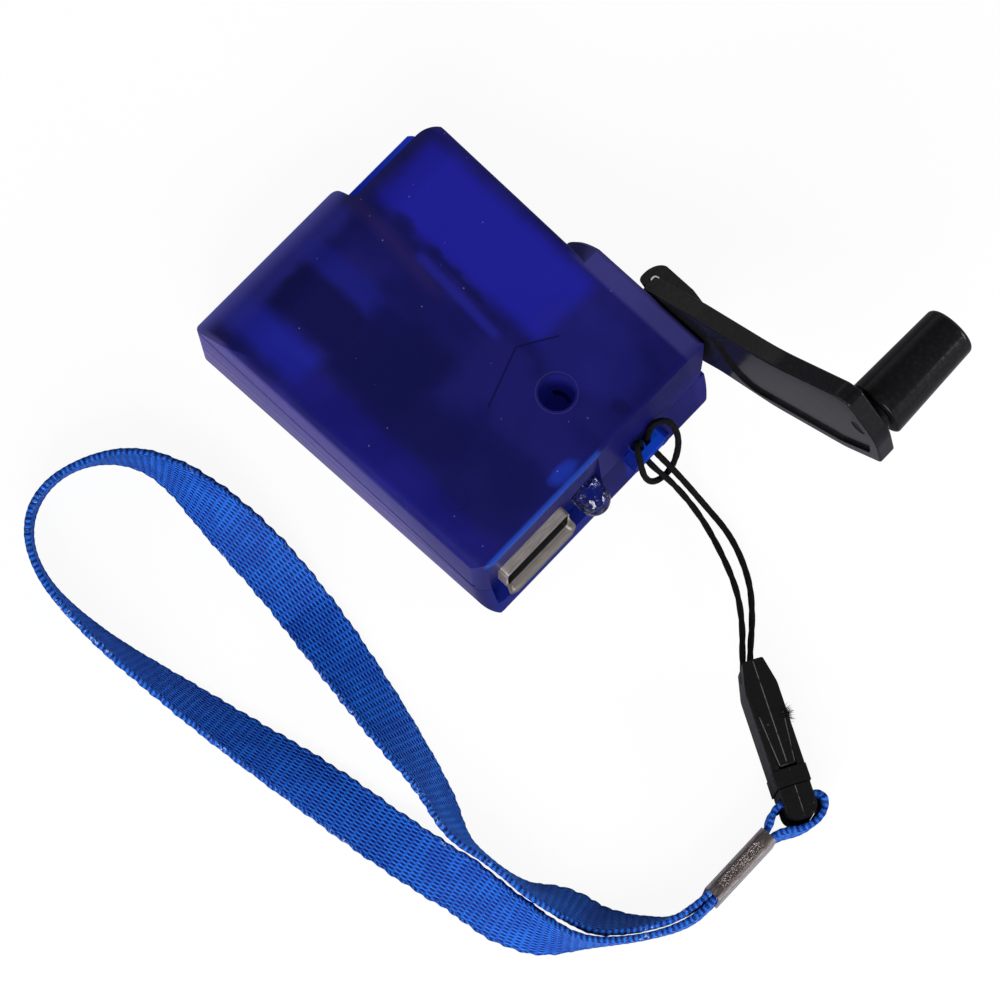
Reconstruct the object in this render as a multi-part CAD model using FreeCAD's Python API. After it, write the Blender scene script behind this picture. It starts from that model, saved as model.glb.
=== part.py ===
import FreeCAD, Part
import math
import os

# Hand crank charger with wrist lanyard.
# Frame: Z up, X along the case from the rounded end to the socket end,
# Y towards the crank side.  Origin: middle of the flat underside.  Millimetres.

V = FreeCAD.Vector

# ---------------------------------------------------------------- case
CASE_X0 = -30.5          # rounded end
CASE_H = 24.0
CASE_HALF_W_REAR = 23.5  # half width at the rounded end
CASE_HALF_W_FRONT = 22.3 # half width at the socket end
END_X_TOP = 27.3         # socket end wall, at the top
END_X_PART = 28.6        # socket end wall, at the parting plane
END_X_FOOT = 31.0        # socket end wall, at the foot
PART_Z = CASE_H / 2      # parting plane of the two shells, level with the crank axis
PART_GAP = 0.12          # fine line seen between the shells
WALL = 1.8
TOP_DRAFT = 0.3
SKIM = 0.02              # how far one outline of the case stands past the plane of another
BEYOND = 60.0            # outside everything, for cuts that run right through
R_BULLNOSE_TOP = 12.0
R_BULLNOSE_FOOT = 9.0
R_TOP_EDGE = 0.9         # crank side and socket end
R_TOP_EDGE_PLAIN = 1.8   # plain side
R_FOOT_EDGE = 6.0
R_END_FOOT = 3.0
R_CORNER_REAR = 3.2      # plain side
R_CORNER_CRADLE = 2.2    # crank side
R_CORNER_FRONT = 3.4     # socket end, plain side
R_CORNER_BOSS = 2.2      # socket end, crank side
R_INSIDE = 0.5           # least inside rounding

# decorative step line on the plain side
STEP_DEPTH = 0.45
STEP_W = 1.0
STEP_BELOW_TOP = 4.6      # lower edge of the step at the rounded end, below the top
STEP_ABOVE_PART = 0.6     # lower edge of the step at the socket end, above the parting plane
STEP_END = 1.0            # short of the end wall
STEP_REAR_RUN = 9.5       # the groove's line runs on this far past the rounded end

# ---------------------------------------------------------------- crank hub
HUB_X = 15.5
HUB_Z = PART_Z
BOSS_R = 15.0
BOSS_FACE_Y = 25.2
BOSS_CHAMFER = 0.6
BOSS_Y0 = 19.0
SWELL_X0 = 4.0           # swelling of the lower shell round the boss
SWELL_Y = 24.6
SWELL_R = 2.0
HUB_DISC_R = 8.2
HUB_POCKET_Y = 24.3      # floor of the round pocket that the hub disc turns in
HUB_DISC_Y0 = 24.4
HUB_DISC_Y1 = 26.0
HUB_DISC_EDGE = 0.4
HUB_POCKET_CLEAR = 0.25
SPIGOT_R = 3.2
SPIGOT_Y0 = 21.6
BEARING_CLEAR = 0.06
SHAFT_R = 1.5
SHAFT_Y1 = 26.3
SHAFT_END = 0.3          # the shaft stands out of the inner gear plate by this much
BEARING_WALL_Y0 = 20.8   # inner face of the thick bearing wall
BEARING_WALL_R = 12.0

# ---------------------------------------------------------------- crank arm
CRANK_ANGLE = 39.5       # arm raised from level at rest
PIN_ALONG = 1.9          # fold pin, from the hub axis along the arm
PIN_Y = 29.1
PIN_R = 0.75
PIN_HALF_LEN = 4.45
PIN_CLEAR = 0.05
PIN_CHAMFER = 0.2
TONGUE_R = 1.7           # hub tongue round the pin
TONGUE_SPAN = (-0.8, 2.4)
FORK_CLEAR = 0.12
FORK_DEPTH = 0.25        # slot of the fork beyond the round of the root
ROOT_R = 2.7             # rounded end of the arm round the pin
ROOT_HALF = 4.3
ROOT_LEAN = (8.0, 1.4)   # top edge of the root: distance from the pin, height above it
ROOT_LEN = 17.0
ROOT_SEAT = 1.5          # underside of the root below the pin
ROOT_OVERLAP = 1.0       # root and plate run into each other by this much
ROOT_RADII = (1.2, 0, 0, 0, 0, 6.0, 0, ROOT_R - SKIM)
ARM_Y0 = 25.5
ARM_T = 2.9
ARM_START = 9.2          # radius at which the wide plate starts
ARM_UPPER = ((17.5, 7.5), (33.5, 5.8))
ARM_LOWER = ((14.5, -6.6), (26.0, -8.5), (42.0, -8.7))
ARM_ROOT = 5.0           # radius that the plate is drawn from, inside the hollow round the hub
ARM_TIP = (2.6, -1.4, (1.2, 0.6), 3.6)   # corners of the knob end, back from the end and across
ARM_RADII = (0, 14.0, 25.0, 12.0, 1.2, 6.0, 1.2, 2.0, 40.0, 10.0, 0)
ARM_PLAIN = 12.0         # edges nearer the hub than this stay sharp
ARM_HALF = 7.3           # half width at the knob end
ARM_END = 53.3
ARM_EDGE_R = 0.35
PANEL_INSET = 1.5
PANEL_DEPTH = 0.5
PANEL_START = 19.0
PANEL_RISE = 0.3
PANEL_RADII = (4.5, 12.0, 8.0, 1.2, 3.0, 1.0, 2.0, 30.0, 1.5)
KNOB_ALONG = 49.3        # from the hub axis
KNOB_ACROSS = -0.6       # off the middle line of the arm
KNOB_NECK_R = 3.1
KNOB_NECK_H = 1.0
KNOB_R_BASE = 4.5
KNOB_R_TIP = 4.0
KNOB_LEN = 16.0
KNOB_GAP = 0.15
KNOB_FILLET = 0.8
KNOB_FOOT_FILLET = 0.3
KNOB_BORE_DEPTH = 11.0
STEM_R = 1.25
STEM_CLEAR = 0.06
STEM_HEAD_R = 2.0
STEM_HEAD_H = 1.0
STEM_HEAD_CLEAR = 0.15
STEM_END_GAP = 0.3
STEM_SUNK = 0.1          # end of the stem below the floor of the panel

# ---------------------------------------------------------------- knob cradle
CRADLE_CLEAR = 0.25
CRADLE_X = HUB_X + 2 * PIN_ALONG - KNOB_ALONG
CRADLE_Z = HUB_Z + KNOB_ACROSS
CRADLE_Y0 = 6.6
NOTCH_X = -25.4
NOTCH_CORNER_R = 1.2
R_NOTCH_END = 2.0        # outer corner of the notch at the rounded end
R_NOTCH_SIDE = 3.5       # outer corner of the notch at the crank side

# ---------------------------------------------------------------- case screws
SCREW_R = 1.0
SCREW_HEAD_R = 1.9
SCREW_HEAD_H = 1.4
SCREW_LEN = 7.0
SCREW_CLEAR = 0.08
SCREW_SEAT_GAP = 0.03
SCREW_CROSS = (1.1, 0.22, 0.8)   # half length, half width and depth of the cross recess
PILOT_DEPTH = 0.4        # pilot hole beyond the screw's tip
TOP_SCREW_XY = (16.9, 5.0)
TOP_RECESS_R = 2.75
TOP_RECESS_FLOOR = PART_Z + 2.4
FOOT_SCREW_XY = ((-20.5, -17.0), (3.0, -17.0))
FOOT_RECESS_R = 2.3
FOOT_RECESS_FLOOR = 8.0
POST_WALL = 1.15
POST_GAP = 0.2           # between the ends of two facing posts and the parting plane

# ---------------------------------------------------------------- gear train
MODULE = 0.5
GEAR_ROOM = 1.2          # from the crank wheel's pitch circle to the wall above it
GEAR_REACH = 30.75       # from the crank axis to the generator axis
TOOTH_COUNT_PINION = 9
TOOTH_COUNT_CRANK = round(2 * (PART_Z - WALL - GEAR_ROOM) / MODULE)
TOOTH_COUNT_IDLERS = round(2 * GEAR_REACH / MODULE) - 3 * TOOTH_COUNT_PINION - TOOTH_COUNT_CRANK
TOOTH_COUNT_IDLER_1 = TOOTH_COUNT_IDLERS // 2
TOOTH_COUNT_IDLER_2 = TOOTH_COUNT_IDLERS - TOOTH_COUNT_IDLER_1
ADDENDUM = 0.9           # in modules
DEDENDUM = 1.15          # in modules
TOOTH_TIP = 0.10         # half thickness of a tooth at tip, pitch circle and root, in pitches
TOOTH_PITCH = 0.225
TOOTH_ROOT = 0.30
LIGHTENING_COUNT = 6     # holes in the web of a wheel
LIGHTENING_RIM = 0.95    # left round those holes
LAYER_C = (11.4, 13.1)   # generator pinion and second idler wheel
LAYER_B = (13.5, 15.2)   # second idler pinion and first idler wheel
LAYER_A = (15.6, 17.6)   # first idler pinion and crank wheel
PINION_STEP = 0.4        # gap between two layers, filled by the pinion
PLATE_IN = (9.4, 10.8)
PLATE_OUT = (18.4, 19.6)
PLATE_CLEAR = 0.4        # above and below the plates
PLATE_IN_X0 = -20.6
PLATE_IN_R = 5.0         # corners at the rounded end
PLATE_OUT_X0 = -13.4
PLATE_OUT_STEP = 1.3     # the outer plate stands this much higher
PLATE_X1 = 24.6
PLATE_R = 1.5
PLATE_Z0 = WALL + PLATE_CLEAR
PLATE_Z1 = CASE_H - WALL - PLATE_CLEAR
GUIDE_T = 1.2            # ribs that hold the inner plate
GUIDE_W = 3.0
GUIDE_CLEAR = 0.1
GUIDE_GRIP = 1.2
GUIDE_X = (3.5, 19.0)
AXLE_R = 0.75
AXLE_CLEAR = 0.05
SPACER_R = 0.85
SPACER_INSET = 1.2       # from the edges of the outer plate

# ---------------------------------------------------------------- generator
GEN_ROOM = 1.2           # from the can to the wall above it
GEN_R = PART_Z - WALL - GEN_ROOM
GEN_WALL = 0.6
GEN_FACE_T = 0.9
GEN_FRONT_Y = 4.5
GEN_BACK_Y = -9.1
GEN_CAP_T = 1.4
GEN_CAP_STEP = 0.1       # cap smaller than the can
GEN_BUSH_R = 2.6
GEN_BUSH_H = 0.5
GEN_SHAFT_R = 1.0
GEN_SHAFT_Y0 = -11.3
GEN_CLEAR = 0.05
COIL_GAP = 0.2           # between the can and the coils
COIL_T = 1.5
COIL_END_BACK = 1.4      # from the ends of the can to the coils
COIL_END_FRONT = 2.7
ROTOR_GAP = 0.5
ROTOR_END = 0.6
GEN_RIB_T = 1.4          # cradle ribs under the can
GEN_RIB_HALF = 7.0
GEN_RIB_DROP = 5.5       # top of the ribs below the axis
GEN_RIB_CLEAR = 0.1
GEN_RIB_INSET = (2.0, 3.0)

# ---------------------------------------------------------------- electronics
BOARD_X = (7.5, 25.5)
BOARD_Y = (-19.4, 0.9)
BOARD_T = 1.6
BOARD_SOCKET_GAP = 0.1
BOARD_POST_R = 1.5
BOARD_POST_XY = ((9.0, -10.0), (24.6, -10.0), (9.0, -1.0))
BOARD_CLEAR = 0.05
PART_LIFT = 0.05         # parts soldered on the board stand this high above it
CAPACITOR_XY = (10.9, -15.6)
CAPACITOR_R = 2.5
CAPACITOR_H = 10.5
CAPACITOR_RIM = 0.25
DIODE_COUNT = 4
DIODE_X = 10.6
DIODE_Y0 = -11.0
DIODE_PITCH = 2.6
DIODE_LEN = 4.0
DIODE_R = 0.95
DIODE_LIFT = 1.25
DIODE_LEAD = 0.7
DIODE_LEAD_R = 0.25
REGULATOR_X = (17.2, 21.4)
REGULATOR_Y = (-4.0, 0.2)
REGULATOR_H = 1.5
INDUCTOR_XY = (15.3, -1.9)
INDUCTOR_R = 1.6
INDUCTOR_WAIST_R = 1.2
INDUCTOR_H = 2.7
INDUCTOR_FLANGE = 0.5
SOCKET_Y = -11.8         # middle of the USB socket
SOCKET_Z = PART_Z
SOCKET_W = 13.3
SOCKET_H = 6.6
SOCKET_WALL = 0.35
SOCKET_X0 = 15.2
SOCKET_X1 = 29.1
SOCKET_CLEAR = 0.15
SOCKET_CORNER_R = 0.9
SPRING_X = (19.5, 24.0)  # spring windows in the upper plate
SPRING_OUT = 3.0         # from the middle of the socket
SPRING_HALF = 0.9
BLOCK_GAP = 0.05
BLOCK_T = 2.2
TONGUE_T = 1.9
TONGUE_W = 11.0
TONGUE_DROP = 0.75       # below the top of the moulded block
TONGUE_BACK = 1.6        # behind the mouth of the shell
CONTACT_W = 1.0
CONTACT_T = 0.16
CONTACT_GAP = 0.04
CONTACTS = ((-3.5, 1.0), (-1.0, 2.0), (1.0, 2.0), (3.5, 1.0))   # across, short of the tongue's end
BAY_X = 27.5             # recessed wall that the socket and lamp stand out of
BAY_Y = (-20.6, 2.4)
BAY_Z0 = PART_Z - 6.0
LED_Y = -0.6
LED_R = 2.5
LED_FLANGE_R = 2.9
LED_X0 = 24.6
LED_TIP_X = 32.3
LED_CLEAR = 0.12
LED_FLANGE_T = 1.0
LED_LEAD_W = 0.5
LED_LEAD_RUN = 1.95
LED_LEAD_OUT = 1.27      # from the middle of the lamp

# ---------------------------------------------------------------- lanyard lug
LUG_Y = 10.8
LUG_HALF = 3.7
LUG_POST_W = 1.4
LUG_X1 = 31.2
LUG_BAR_T = 1.2
LUG_Z0 = PART_Z - 3.7
LUG_Z1 = PART_Z + 0.9
LUG_RECESS_X = 28.0      # pocket in the end wall behind the bar
LUG_RECESS_HALF = 2.2
LUG_RECESS_Z = (PART_Z - 5.0, PART_Z + 2.6)
LUG_CORNER_R = 1.2
LUG_BAR_INSET = 0.9      # bar shallower than the posts, above and below
LUG_SHELL_GAP = 0.15     # between the posts and the upper shell

# ---------------------------------------------------------------- cord and clip
CORD_D = 1.0
WEB_W = 8.6
WEB_T = 0.8
WEB_REST = 0.55          # lower edge of the webbing above the table
CLIP_TOP = (62.7, -2.0)  # cord end of the clip, in plan
CLIP_ANGLE = -29.2       # direction of the clip in plan
CLIP_LEN = 24.2
CLIP_W = 5.0
CLIP_TOP_W = 3.1
CLIP_SHOULDER = 4.2
CLIP_H = 10.6
CLIP_REST = 0.15         # lower ridge of the clip above the table
CLIP_COLLAR = 2.6        # length of the raised rim at the joint
COLLAR_RISE = 0.12
CLIP_RIDGE = 0.5
CLIP_JOINT = 19.2
CLIP_GAP = 0.15
CLIP_SIDE_WALL = 0.8
CLIP_EDGE_WALL = 0.75
CLIP_EDGE_R = 0.3
CLIP_SHOULDER_R = 4.0
CLIP_END_R = 2.0         # rounded end that the webbing wraps
CLIP_BORE_S = 6.5        # inner end of the hollow for the prongs
CLIP_HOLE_R = 1.25       # hole for the two strands of the cord
WINDOW_S = (8.3, 16.6)
WINDOW_TAPER = 0.35
WINDOW_RADII = (0.8, 0.8, 0.3, 0.3)
PRONG_TIP = 8.7
PRONG_T = 1.28
PRONG_CLEAR = 0.12
PRONG_NECK = 0.35        # the prongs are this much narrower behind their heads, each side
PRONG_ROOT = 0.5         # prongs and guide run into the plug by this much
PRONG_RADII = (0.8, 0.8, 0, 0, 0, 0)
GUIDE_TIP = 13.0
GUIDE_H = 2.2
GUIDE_HALF_W = 0.98
PLUG_INSET = 0.1         # plug slimmer than the collar of the other half
SLOT_S = 21.0
SLOT_W = 1.35
SLOT_CLEAR = 0.22
CRIMP_X = 81.6
CRIMP_Y = (-31.0, -19.0)
CRIMP_WALL = 0.4
CRIMP_CLEAR = 0.12
CRIMP_EDGE_CLEAR = 0.07
CRIMP_EDGE_R = 0.9
CRIMP_INNER_R = 0.2
LAYER_PITCH = 1.1        # spacing of the two webbing layers in the crimp

os.makedirs("parts", exist_ok=True)


def save(name, shape):
    """Write one node and say what it is made of."""
    shape.exportStep("parts/%s.step" % name)
    print(name, len(shape.Solids), "solids, volume %.1f" % shape.Volume, shape.isValid())


# ================================================================ shape helpers
def box(x, y, z):
    return Part.makeBox(x[1] - x[0], y[1] - y[0], z[1] - z[0], V(x[0], y[0], z[0]))


def rod(axis, centre, r, span):
    """Cylinder along X, Y or Z; centre gives the two other coordinates in order."""
    length = span[1] - span[0]
    if axis == "X":
        return Part.makeCylinder(r, length, V(span[0], centre[0], centre[1]), V(1, 0, 0))
    if axis == "Y":
        return Part.makeCylinder(r, length, V(centre[0], span[0], centre[1]), V(0, 1, 0))
    return Part.makeCylinder(r, length, V(centre[0], centre[1], span[0]), V(0, 0, 1))


def union(shapes):
    result = shapes[0]
    for shape in shapes[1:]:
        result = result.fuse(shape)
    return result.removeSplitter()


def outline(points, radii, place):
    """Closed wire through 2-D corner points, each corner rounded by its radius."""
    count = len(points)
    runs = []
    for i in range(count):
        px, py = points[i]
        ax, ay = points[i - 1]
        bx, by = points[(i + 1) % count]
        la = math.hypot(ax - px, ay - py)
        lb = math.hypot(bx - px, by - py)
        ua = ((ax - px) / la, (ay - py) / la)
        ub = ((bx - px) / lb, (by - py) / lb)
        r = radii[i]
        if r <= 0:
            runs.append(((px, py), None, (px, py)))
            continue
        half = 0.5 * math.acos(max(-1.0, min(1.0, ua[0] * ub[0] + ua[1] * ub[1])))
        reach = r / math.tan(half)
        sx, sy = ua[0] + ub[0], ua[1] + ub[1]
        sl = math.hypot(sx, sy)
        far = r / math.sin(half) - r
        start = (px + ua[0] * reach, py + ua[1] * reach)
        end = (px + ub[0] * reach, py + ub[1] * reach)
        middle = (px + sx / sl * far, py + sy / sl * far)
        runs.append((start, middle, end))
    edges = []
    for i in range(count):
        start, middle, end = runs[i]
        if middle is not None:
            edges.append(Part.Arc(place(*start), place(*middle), place(*end)).toShape())
        nxt = runs[(i + 1) % count][0]
        if math.hypot(nxt[0] - end[0], nxt[1] - end[1]) > 1e-6:
            edges.append(Part.LineSegment(place(*end), place(*nxt)).toShape())
    return Part.Wire(edges)


def prism(points, radii, place, direction):
    return Part.Face(outline(points, radii, place)).extrude(direction)


def in_xy(z):
    return lambda u, v: V(u, v, z)


def in_xz(y):
    return lambda u, v: V(u, y, v)


def in_yz(x):
    return lambda u, v: V(x, u, v)


# ================================================================ case shells
def half_width(x):
    share = (x - CASE_X0) / (-2.0 * CASE_X0)
    return CASE_HALF_W_REAR + share * (CASE_HALF_W_FRONT - CASE_HALF_W_REAR)


def front_section(x, inset):
    """Cross-section of the case: rounded top edges, large foot edges, slight draft."""
    h = half_width(x) - inset
    z0 = inset - SKIM
    z1 = CASE_H - inset
    points = [(-h, z0), (-h, PART_Z), (-h + TOP_DRAFT, z1), (h - TOP_DRAFT, z1), (h, PART_Z), (h, z0)]
    r_foot = R_FOOT_EDGE - inset
    r_plain = max(R_TOP_EDGE_PLAIN - inset, R_INSIDE)
    r_crank = max(R_TOP_EDGE - inset, R_INSIDE)
    return outline(points, [r_foot, 0, r_plain, r_crank, 0, r_foot], in_yz(x))


def end_x(z):
    """Where the socket end wall is at height z; it slopes more below the parting plane."""
    if z > PART_Z:
        return END_X_PART + (END_X_TOP - END_X_PART) * (z - PART_Z) / (CASE_H - PART_Z)
    return END_X_FOOT + (END_X_PART - END_X_FOOT) * z / PART_Z


def plan_outline(z, inset):
    """Outline of the case seen from above at height z, with its upright corners rounded."""
    rear = CASE_HALF_W_REAR - inset + SKIM
    front = half_width(end_x(PART_Z)) - inset + SKIM
    start = CASE_X0 + inset - SKIM
    end = end_x(z) - inset + SKIM
    points = [(start, -rear), (end, -front), (end, front), (start, rear)]
    corners = (R_CORNER_REAR, R_CORNER_FRONT, R_CORNER_BOSS, R_CORNER_CRADLE)
    return outline(points, [max(r - inset, R_INSIDE) for r in corners], in_xy(z))


def case_body(inset):
    """Case volume shrunk by inset: sections along X, cut by the side view and by the plan."""
    body = Part.makeLoft([front_section(-BEYOND, inset), front_section(BEYOND, inset)], True, True)
    side = [(CASE_X0 + inset, inset), (CASE_X0 + inset, CASE_H - inset),
            (END_X_TOP - inset, CASE_H - inset), (END_X_PART - inset, PART_Z), (END_X_FOOT - inset, inset)]
    side_radii = [R_BULLNOSE_FOOT - inset, R_BULLNOSE_TOP - inset, max(R_TOP_EDGE - inset, R_INSIDE), 0,
                  max(R_END_FOOT - inset, R_INSIDE)]
    body = body.common(prism(side, side_radii, in_xz(-BEYOND), V(0, 2 * BEYOND, 0)))
    heights = (-1.0, PART_Z, CASE_H + 1.0)
    return body.common(Part.makeLoft([plan_outline(z, inset) for z in heights], True, True))


def hub_boss():
    """Round boss that carries the crank, squared out to the socket end of the upper shell,
    and the swelling of the lower shell below it."""
    straight = BOSS_FACE_Y - BOSS_CHAMFER
    boss = rod("Y", (HUB_X, HUB_Z), BOSS_R, (BOSS_Y0, straight))
    rim = Part.makeCone(BOSS_R, BOSS_R - BOSS_CHAMFER, BOSS_CHAMFER, V(HUB_X, straight, HUB_Z), V(0, 1, 0))
    section = [(0.0, 0.0), (0.0, CASE_H), (BOSS_FACE_Y, CASE_H), (BOSS_FACE_Y, 0.0)]
    section = prism(section, [0, 0, R_TOP_EDGE, R_FOOT_EDGE], in_yz(-BEYOND), V(2 * BEYOND, 0, 0))
    plan = [(-BEYOND, 0.0), (END_X_PART, 0.0), (END_X_PART, BOSS_FACE_Y), (-BEYOND, BOSS_FACE_Y)]
    plan = prism(plan, [0, 0, R_CORNER_BOSS, 0], in_xy(0), V(0, 0, CASE_H))
    shoulder = box((HUB_X, END_X_PART), (BOSS_Y0, BOSS_FACE_Y), (PART_Z, CASE_H))
    boss = boss.fuse(rim).fuse(shoulder).common(section).common(plan)
    swell = prism([(0.0, 0.0), (0.0, PART_Z), (SWELL_Y, PART_Z), (SWELL_Y, 0.0)], [0, 0, 0, R_FOOT_EDGE],
                  in_yz(SWELL_X0), V(BEYOND, 0, 0))
    swell_plan = [(END_X_FOOT, 0.0), (END_X_FOOT, SWELL_Y), (SWELL_X0, SWELL_Y), (SWELL_X0, 0.0)]
    swell = swell.common(prism(swell_plan, [0, R_CORNER_BOSS, SWELL_R, 0], in_xy(0), V(0, 0, PART_Z)))
    side = [(0.0, 0.0), (0.0, CASE_H), (END_X_TOP, CASE_H), (END_X_PART, PART_Z), (END_X_FOOT, 0.0)]
    side = prism(side, [0, 0, R_TOP_EDGE, 0, R_END_FOOT], in_xz(0), V(0, BEYOND, 0))
    return boss.fuse(swell).common(side).removeSplitter()


def corner_block(x, y, r):
    """What the convex corner at (x, y) loses above the parting plane when it is rounded by r."""
    block = box((x - 1.0, x + r), (y - r, y + 1.0), (PART_Z, BEYOND))
    return block.cut(rod("Z", (x + r, y - r), r, (0.0, BEYOND)))


def knob_trough(clear):
    r = KNOB_R_BASE + clear
    return rod("Y", (CRADLE_X, CRADLE_Z), r, (CRADLE_Y0, BEYOND))


def notch_block():
    """Space cut out of the upper shell so that the folded knob can drop in."""
    plan = [(-BEYOND, CRADLE_Y0), (NOTCH_X, CRADLE_Y0), (NOTCH_X, BEYOND), (-BEYOND, BEYOND)]
    return prism(plan, [0, NOTCH_CORNER_R, 0, 0], in_xy(PART_Z), V(0, 0, BEYOND))


def bay_block():
    """Recess in the end wall in front of the socket and the lamp."""
    return box((BAY_X, BEYOND), BAY_Y, (BAY_Z0, BEYOND))


def step_groove():
    """Shallow groove on the plain side, falling towards the socket end."""
    z_rear = CASE_H - STEP_BELOW_TOP
    z_front = PART_Z + STEP_ABOVE_PART
    points = [(CASE_X0 - STEP_REAR_RUN, z_rear), (CASE_X0 - STEP_REAR_RUN, z_rear + STEP_W),
              (END_X_TOP - STEP_END, z_front + STEP_W), (END_X_TOP - STEP_END, z_front)]
    wall_y = -half_width(0.0)
    bar = prism(points, [0, 0, 0, 0], in_xz(wall_y - 2.0), V(0, 2.0 + STEP_DEPTH, 0))
    turn = math.degrees(math.atan((CASE_HALF_W_REAR - CASE_HALF_W_FRONT) / (-2.0 * CASE_X0)))
    bar.rotate(V(0, wall_y, 0), V(0, 0, 1), turn)
    return bar


def make_shells():
    """Whole case with its outside cuts, and the hollow inside it."""
    hollow = case_body(WALL)
    # the hollow stops short of the knob cradle, the bay and the bearing wall
    cradle_x = CRADLE_X + KNOB_R_BASE + CRADLE_CLEAR
    cradle_y = CRADLE_Y0 - WALL
    bearing_x = (HUB_X - BEARING_WALL_R, HUB_X + BEARING_WALL_R)
    keep_out = [knob_trough(CRADLE_CLEAR + WALL),
                box((-BEYOND, NOTCH_X + WALL), (cradle_y, BEYOND), (PART_Z - WALL, BEYOND)),
                box((-BEYOND, cradle_x), (cradle_y, BEYOND), (-1.0, PART_Z)),
                box((BAY_X - WALL, BEYOND), (BAY_Y[0] - WALL, BAY_Y[1] + WALL), (BAY_Z0 - WALL, BEYOND)),
                box(bearing_x, (BEARING_WALL_Y0, BEYOND), (-1.0, BEYOND))]
    for block in keep_out:
        hollow = hollow.cut(block)
    outer = case_body(0.0).fuse(hub_boss()).removeSplitter()
    socket_hole_y = (SOCKET_Y - SOCKET_W / 2 - SOCKET_CLEAR, SOCKET_Y + SOCKET_W / 2 + SOCKET_CLEAR)
    socket_hole_z = (SOCKET_Z - SOCKET_H / 2 - SOCKET_CLEAR, SOCKET_Z + SOCKET_H / 2 + SOCKET_CLEAR)
    lug_recess_y = (LUG_Y - LUG_RECESS_HALF, LUG_Y + LUG_RECESS_HALF)
    end_wall_x = (BAY_X - 2 * WALL, BEYOND)
    cuts = [knob_trough(CRADLE_CLEAR), notch_block(), bay_block(), step_groove(),
            corner_block(CASE_X0, CRADLE_Y0, R_NOTCH_END),
            corner_block(NOTCH_X, half_width(NOTCH_X), R_NOTCH_SIDE),
            rod("Y", (HUB_X, HUB_Z), SPIGOT_R + BEARING_CLEAR, (CRADLE_Y0, BEYOND)),
            rod("Y", (HUB_X, HUB_Z), HUB_DISC_R + HUB_POCKET_CLEAR, (HUB_POCKET_Y, BEYOND)),
            box(end_wall_x, socket_hole_y, socket_hole_z),
            rod("X", (LED_Y, SOCKET_Z), LED_R + LED_CLEAR, end_wall_x),
            box((LUG_RECESS_X, BEYOND), lug_recess_y, LUG_RECESS_Z)]
    for cut in cuts:
        outer = outer.cut(cut)
    return outer, hollow


def gear_plate_guides(z):
    """Pairs of ribs on the shell floor or roof that hold the gear plates."""
    ribs = []
    for x in GUIDE_X:
        for y in (PLATE_IN[0] - GUIDE_CLEAR - GUIDE_T, PLATE_IN[1] + GUIDE_CLEAR):
            ribs.append(box((x, x + GUIDE_W), (y, y + GUIDE_T), z))
    return ribs


def make_upper(outer, hollow):
    post_z = (PART_Z + POST_GAP, CASE_H)
    posts = [rod("Z", TOP_SCREW_XY, TOP_RECESS_R + POST_WALL, post_z)]
    posts += [rod("Z", xy, SCREW_R + SCREW_CLEAR + POST_WALL, post_z) for xy in FOOT_SCREW_XY]
    posts += gear_plate_guides((PLATE_Z1 - GUIDE_GRIP, CASE_H))
    for post in posts:
        hollow = hollow.cut(post)
    above = box((-BEYOND, BEYOND), (-BEYOND, BEYOND), (PART_Z + PART_GAP / 2, BEYOND))
    upper = outer.common(above).cut(hollow)
    upper = upper.cut(rod("Z", TOP_SCREW_XY, TOP_RECESS_R, (TOP_RECESS_FLOOR, BEYOND)))
    upper = upper.cut(rod("Z", TOP_SCREW_XY, SCREW_R + SCREW_CLEAR, (0.0, BEYOND)))
    pilot_top = FOOT_RECESS_FLOOR + SCREW_LEN + PILOT_DEPTH
    for xy in FOOT_SCREW_XY:
        upper = upper.cut(rod("Z", xy, SCREW_R + SCREW_CLEAR / 2, (0.0, pilot_top)))
    return upper


def lanyard_lug():
    """Two posts and a bar moulded on the end wall of the lower shell."""
    y0 = LUG_Y - LUG_HALF
    y1 = LUG_Y + LUG_HALF
    pieces = [box((LUG_X1 - LUG_BAR_T, LUG_X1), (y0, y1), (LUG_Z0 + LUG_BAR_INSET, LUG_Z1 - LUG_BAR_INSET))]
    for y in (y0, y1 - LUG_POST_W):
        post_y = (y, y + LUG_POST_W)
        pieces.append(box((LUG_RECESS_X - LUG_SHELL_GAP, LUG_X1), post_y, (LUG_Z0, PART_Z - PART_GAP / 2)))
        pieces.append(box((END_X_PART + LUG_SHELL_GAP, LUG_X1), post_y, (LUG_Z0, LUG_Z1)))
    corners = [(y0, LUG_Z0), (y0, LUG_Z1), (y1, LUG_Z1), (y1, LUG_Z0)]
    rounding = prism(corners, [LUG_CORNER_R] * 4, in_yz(0.0), V(BEYOND, 0, 0))
    return union(pieces).common(rounding)


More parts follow.
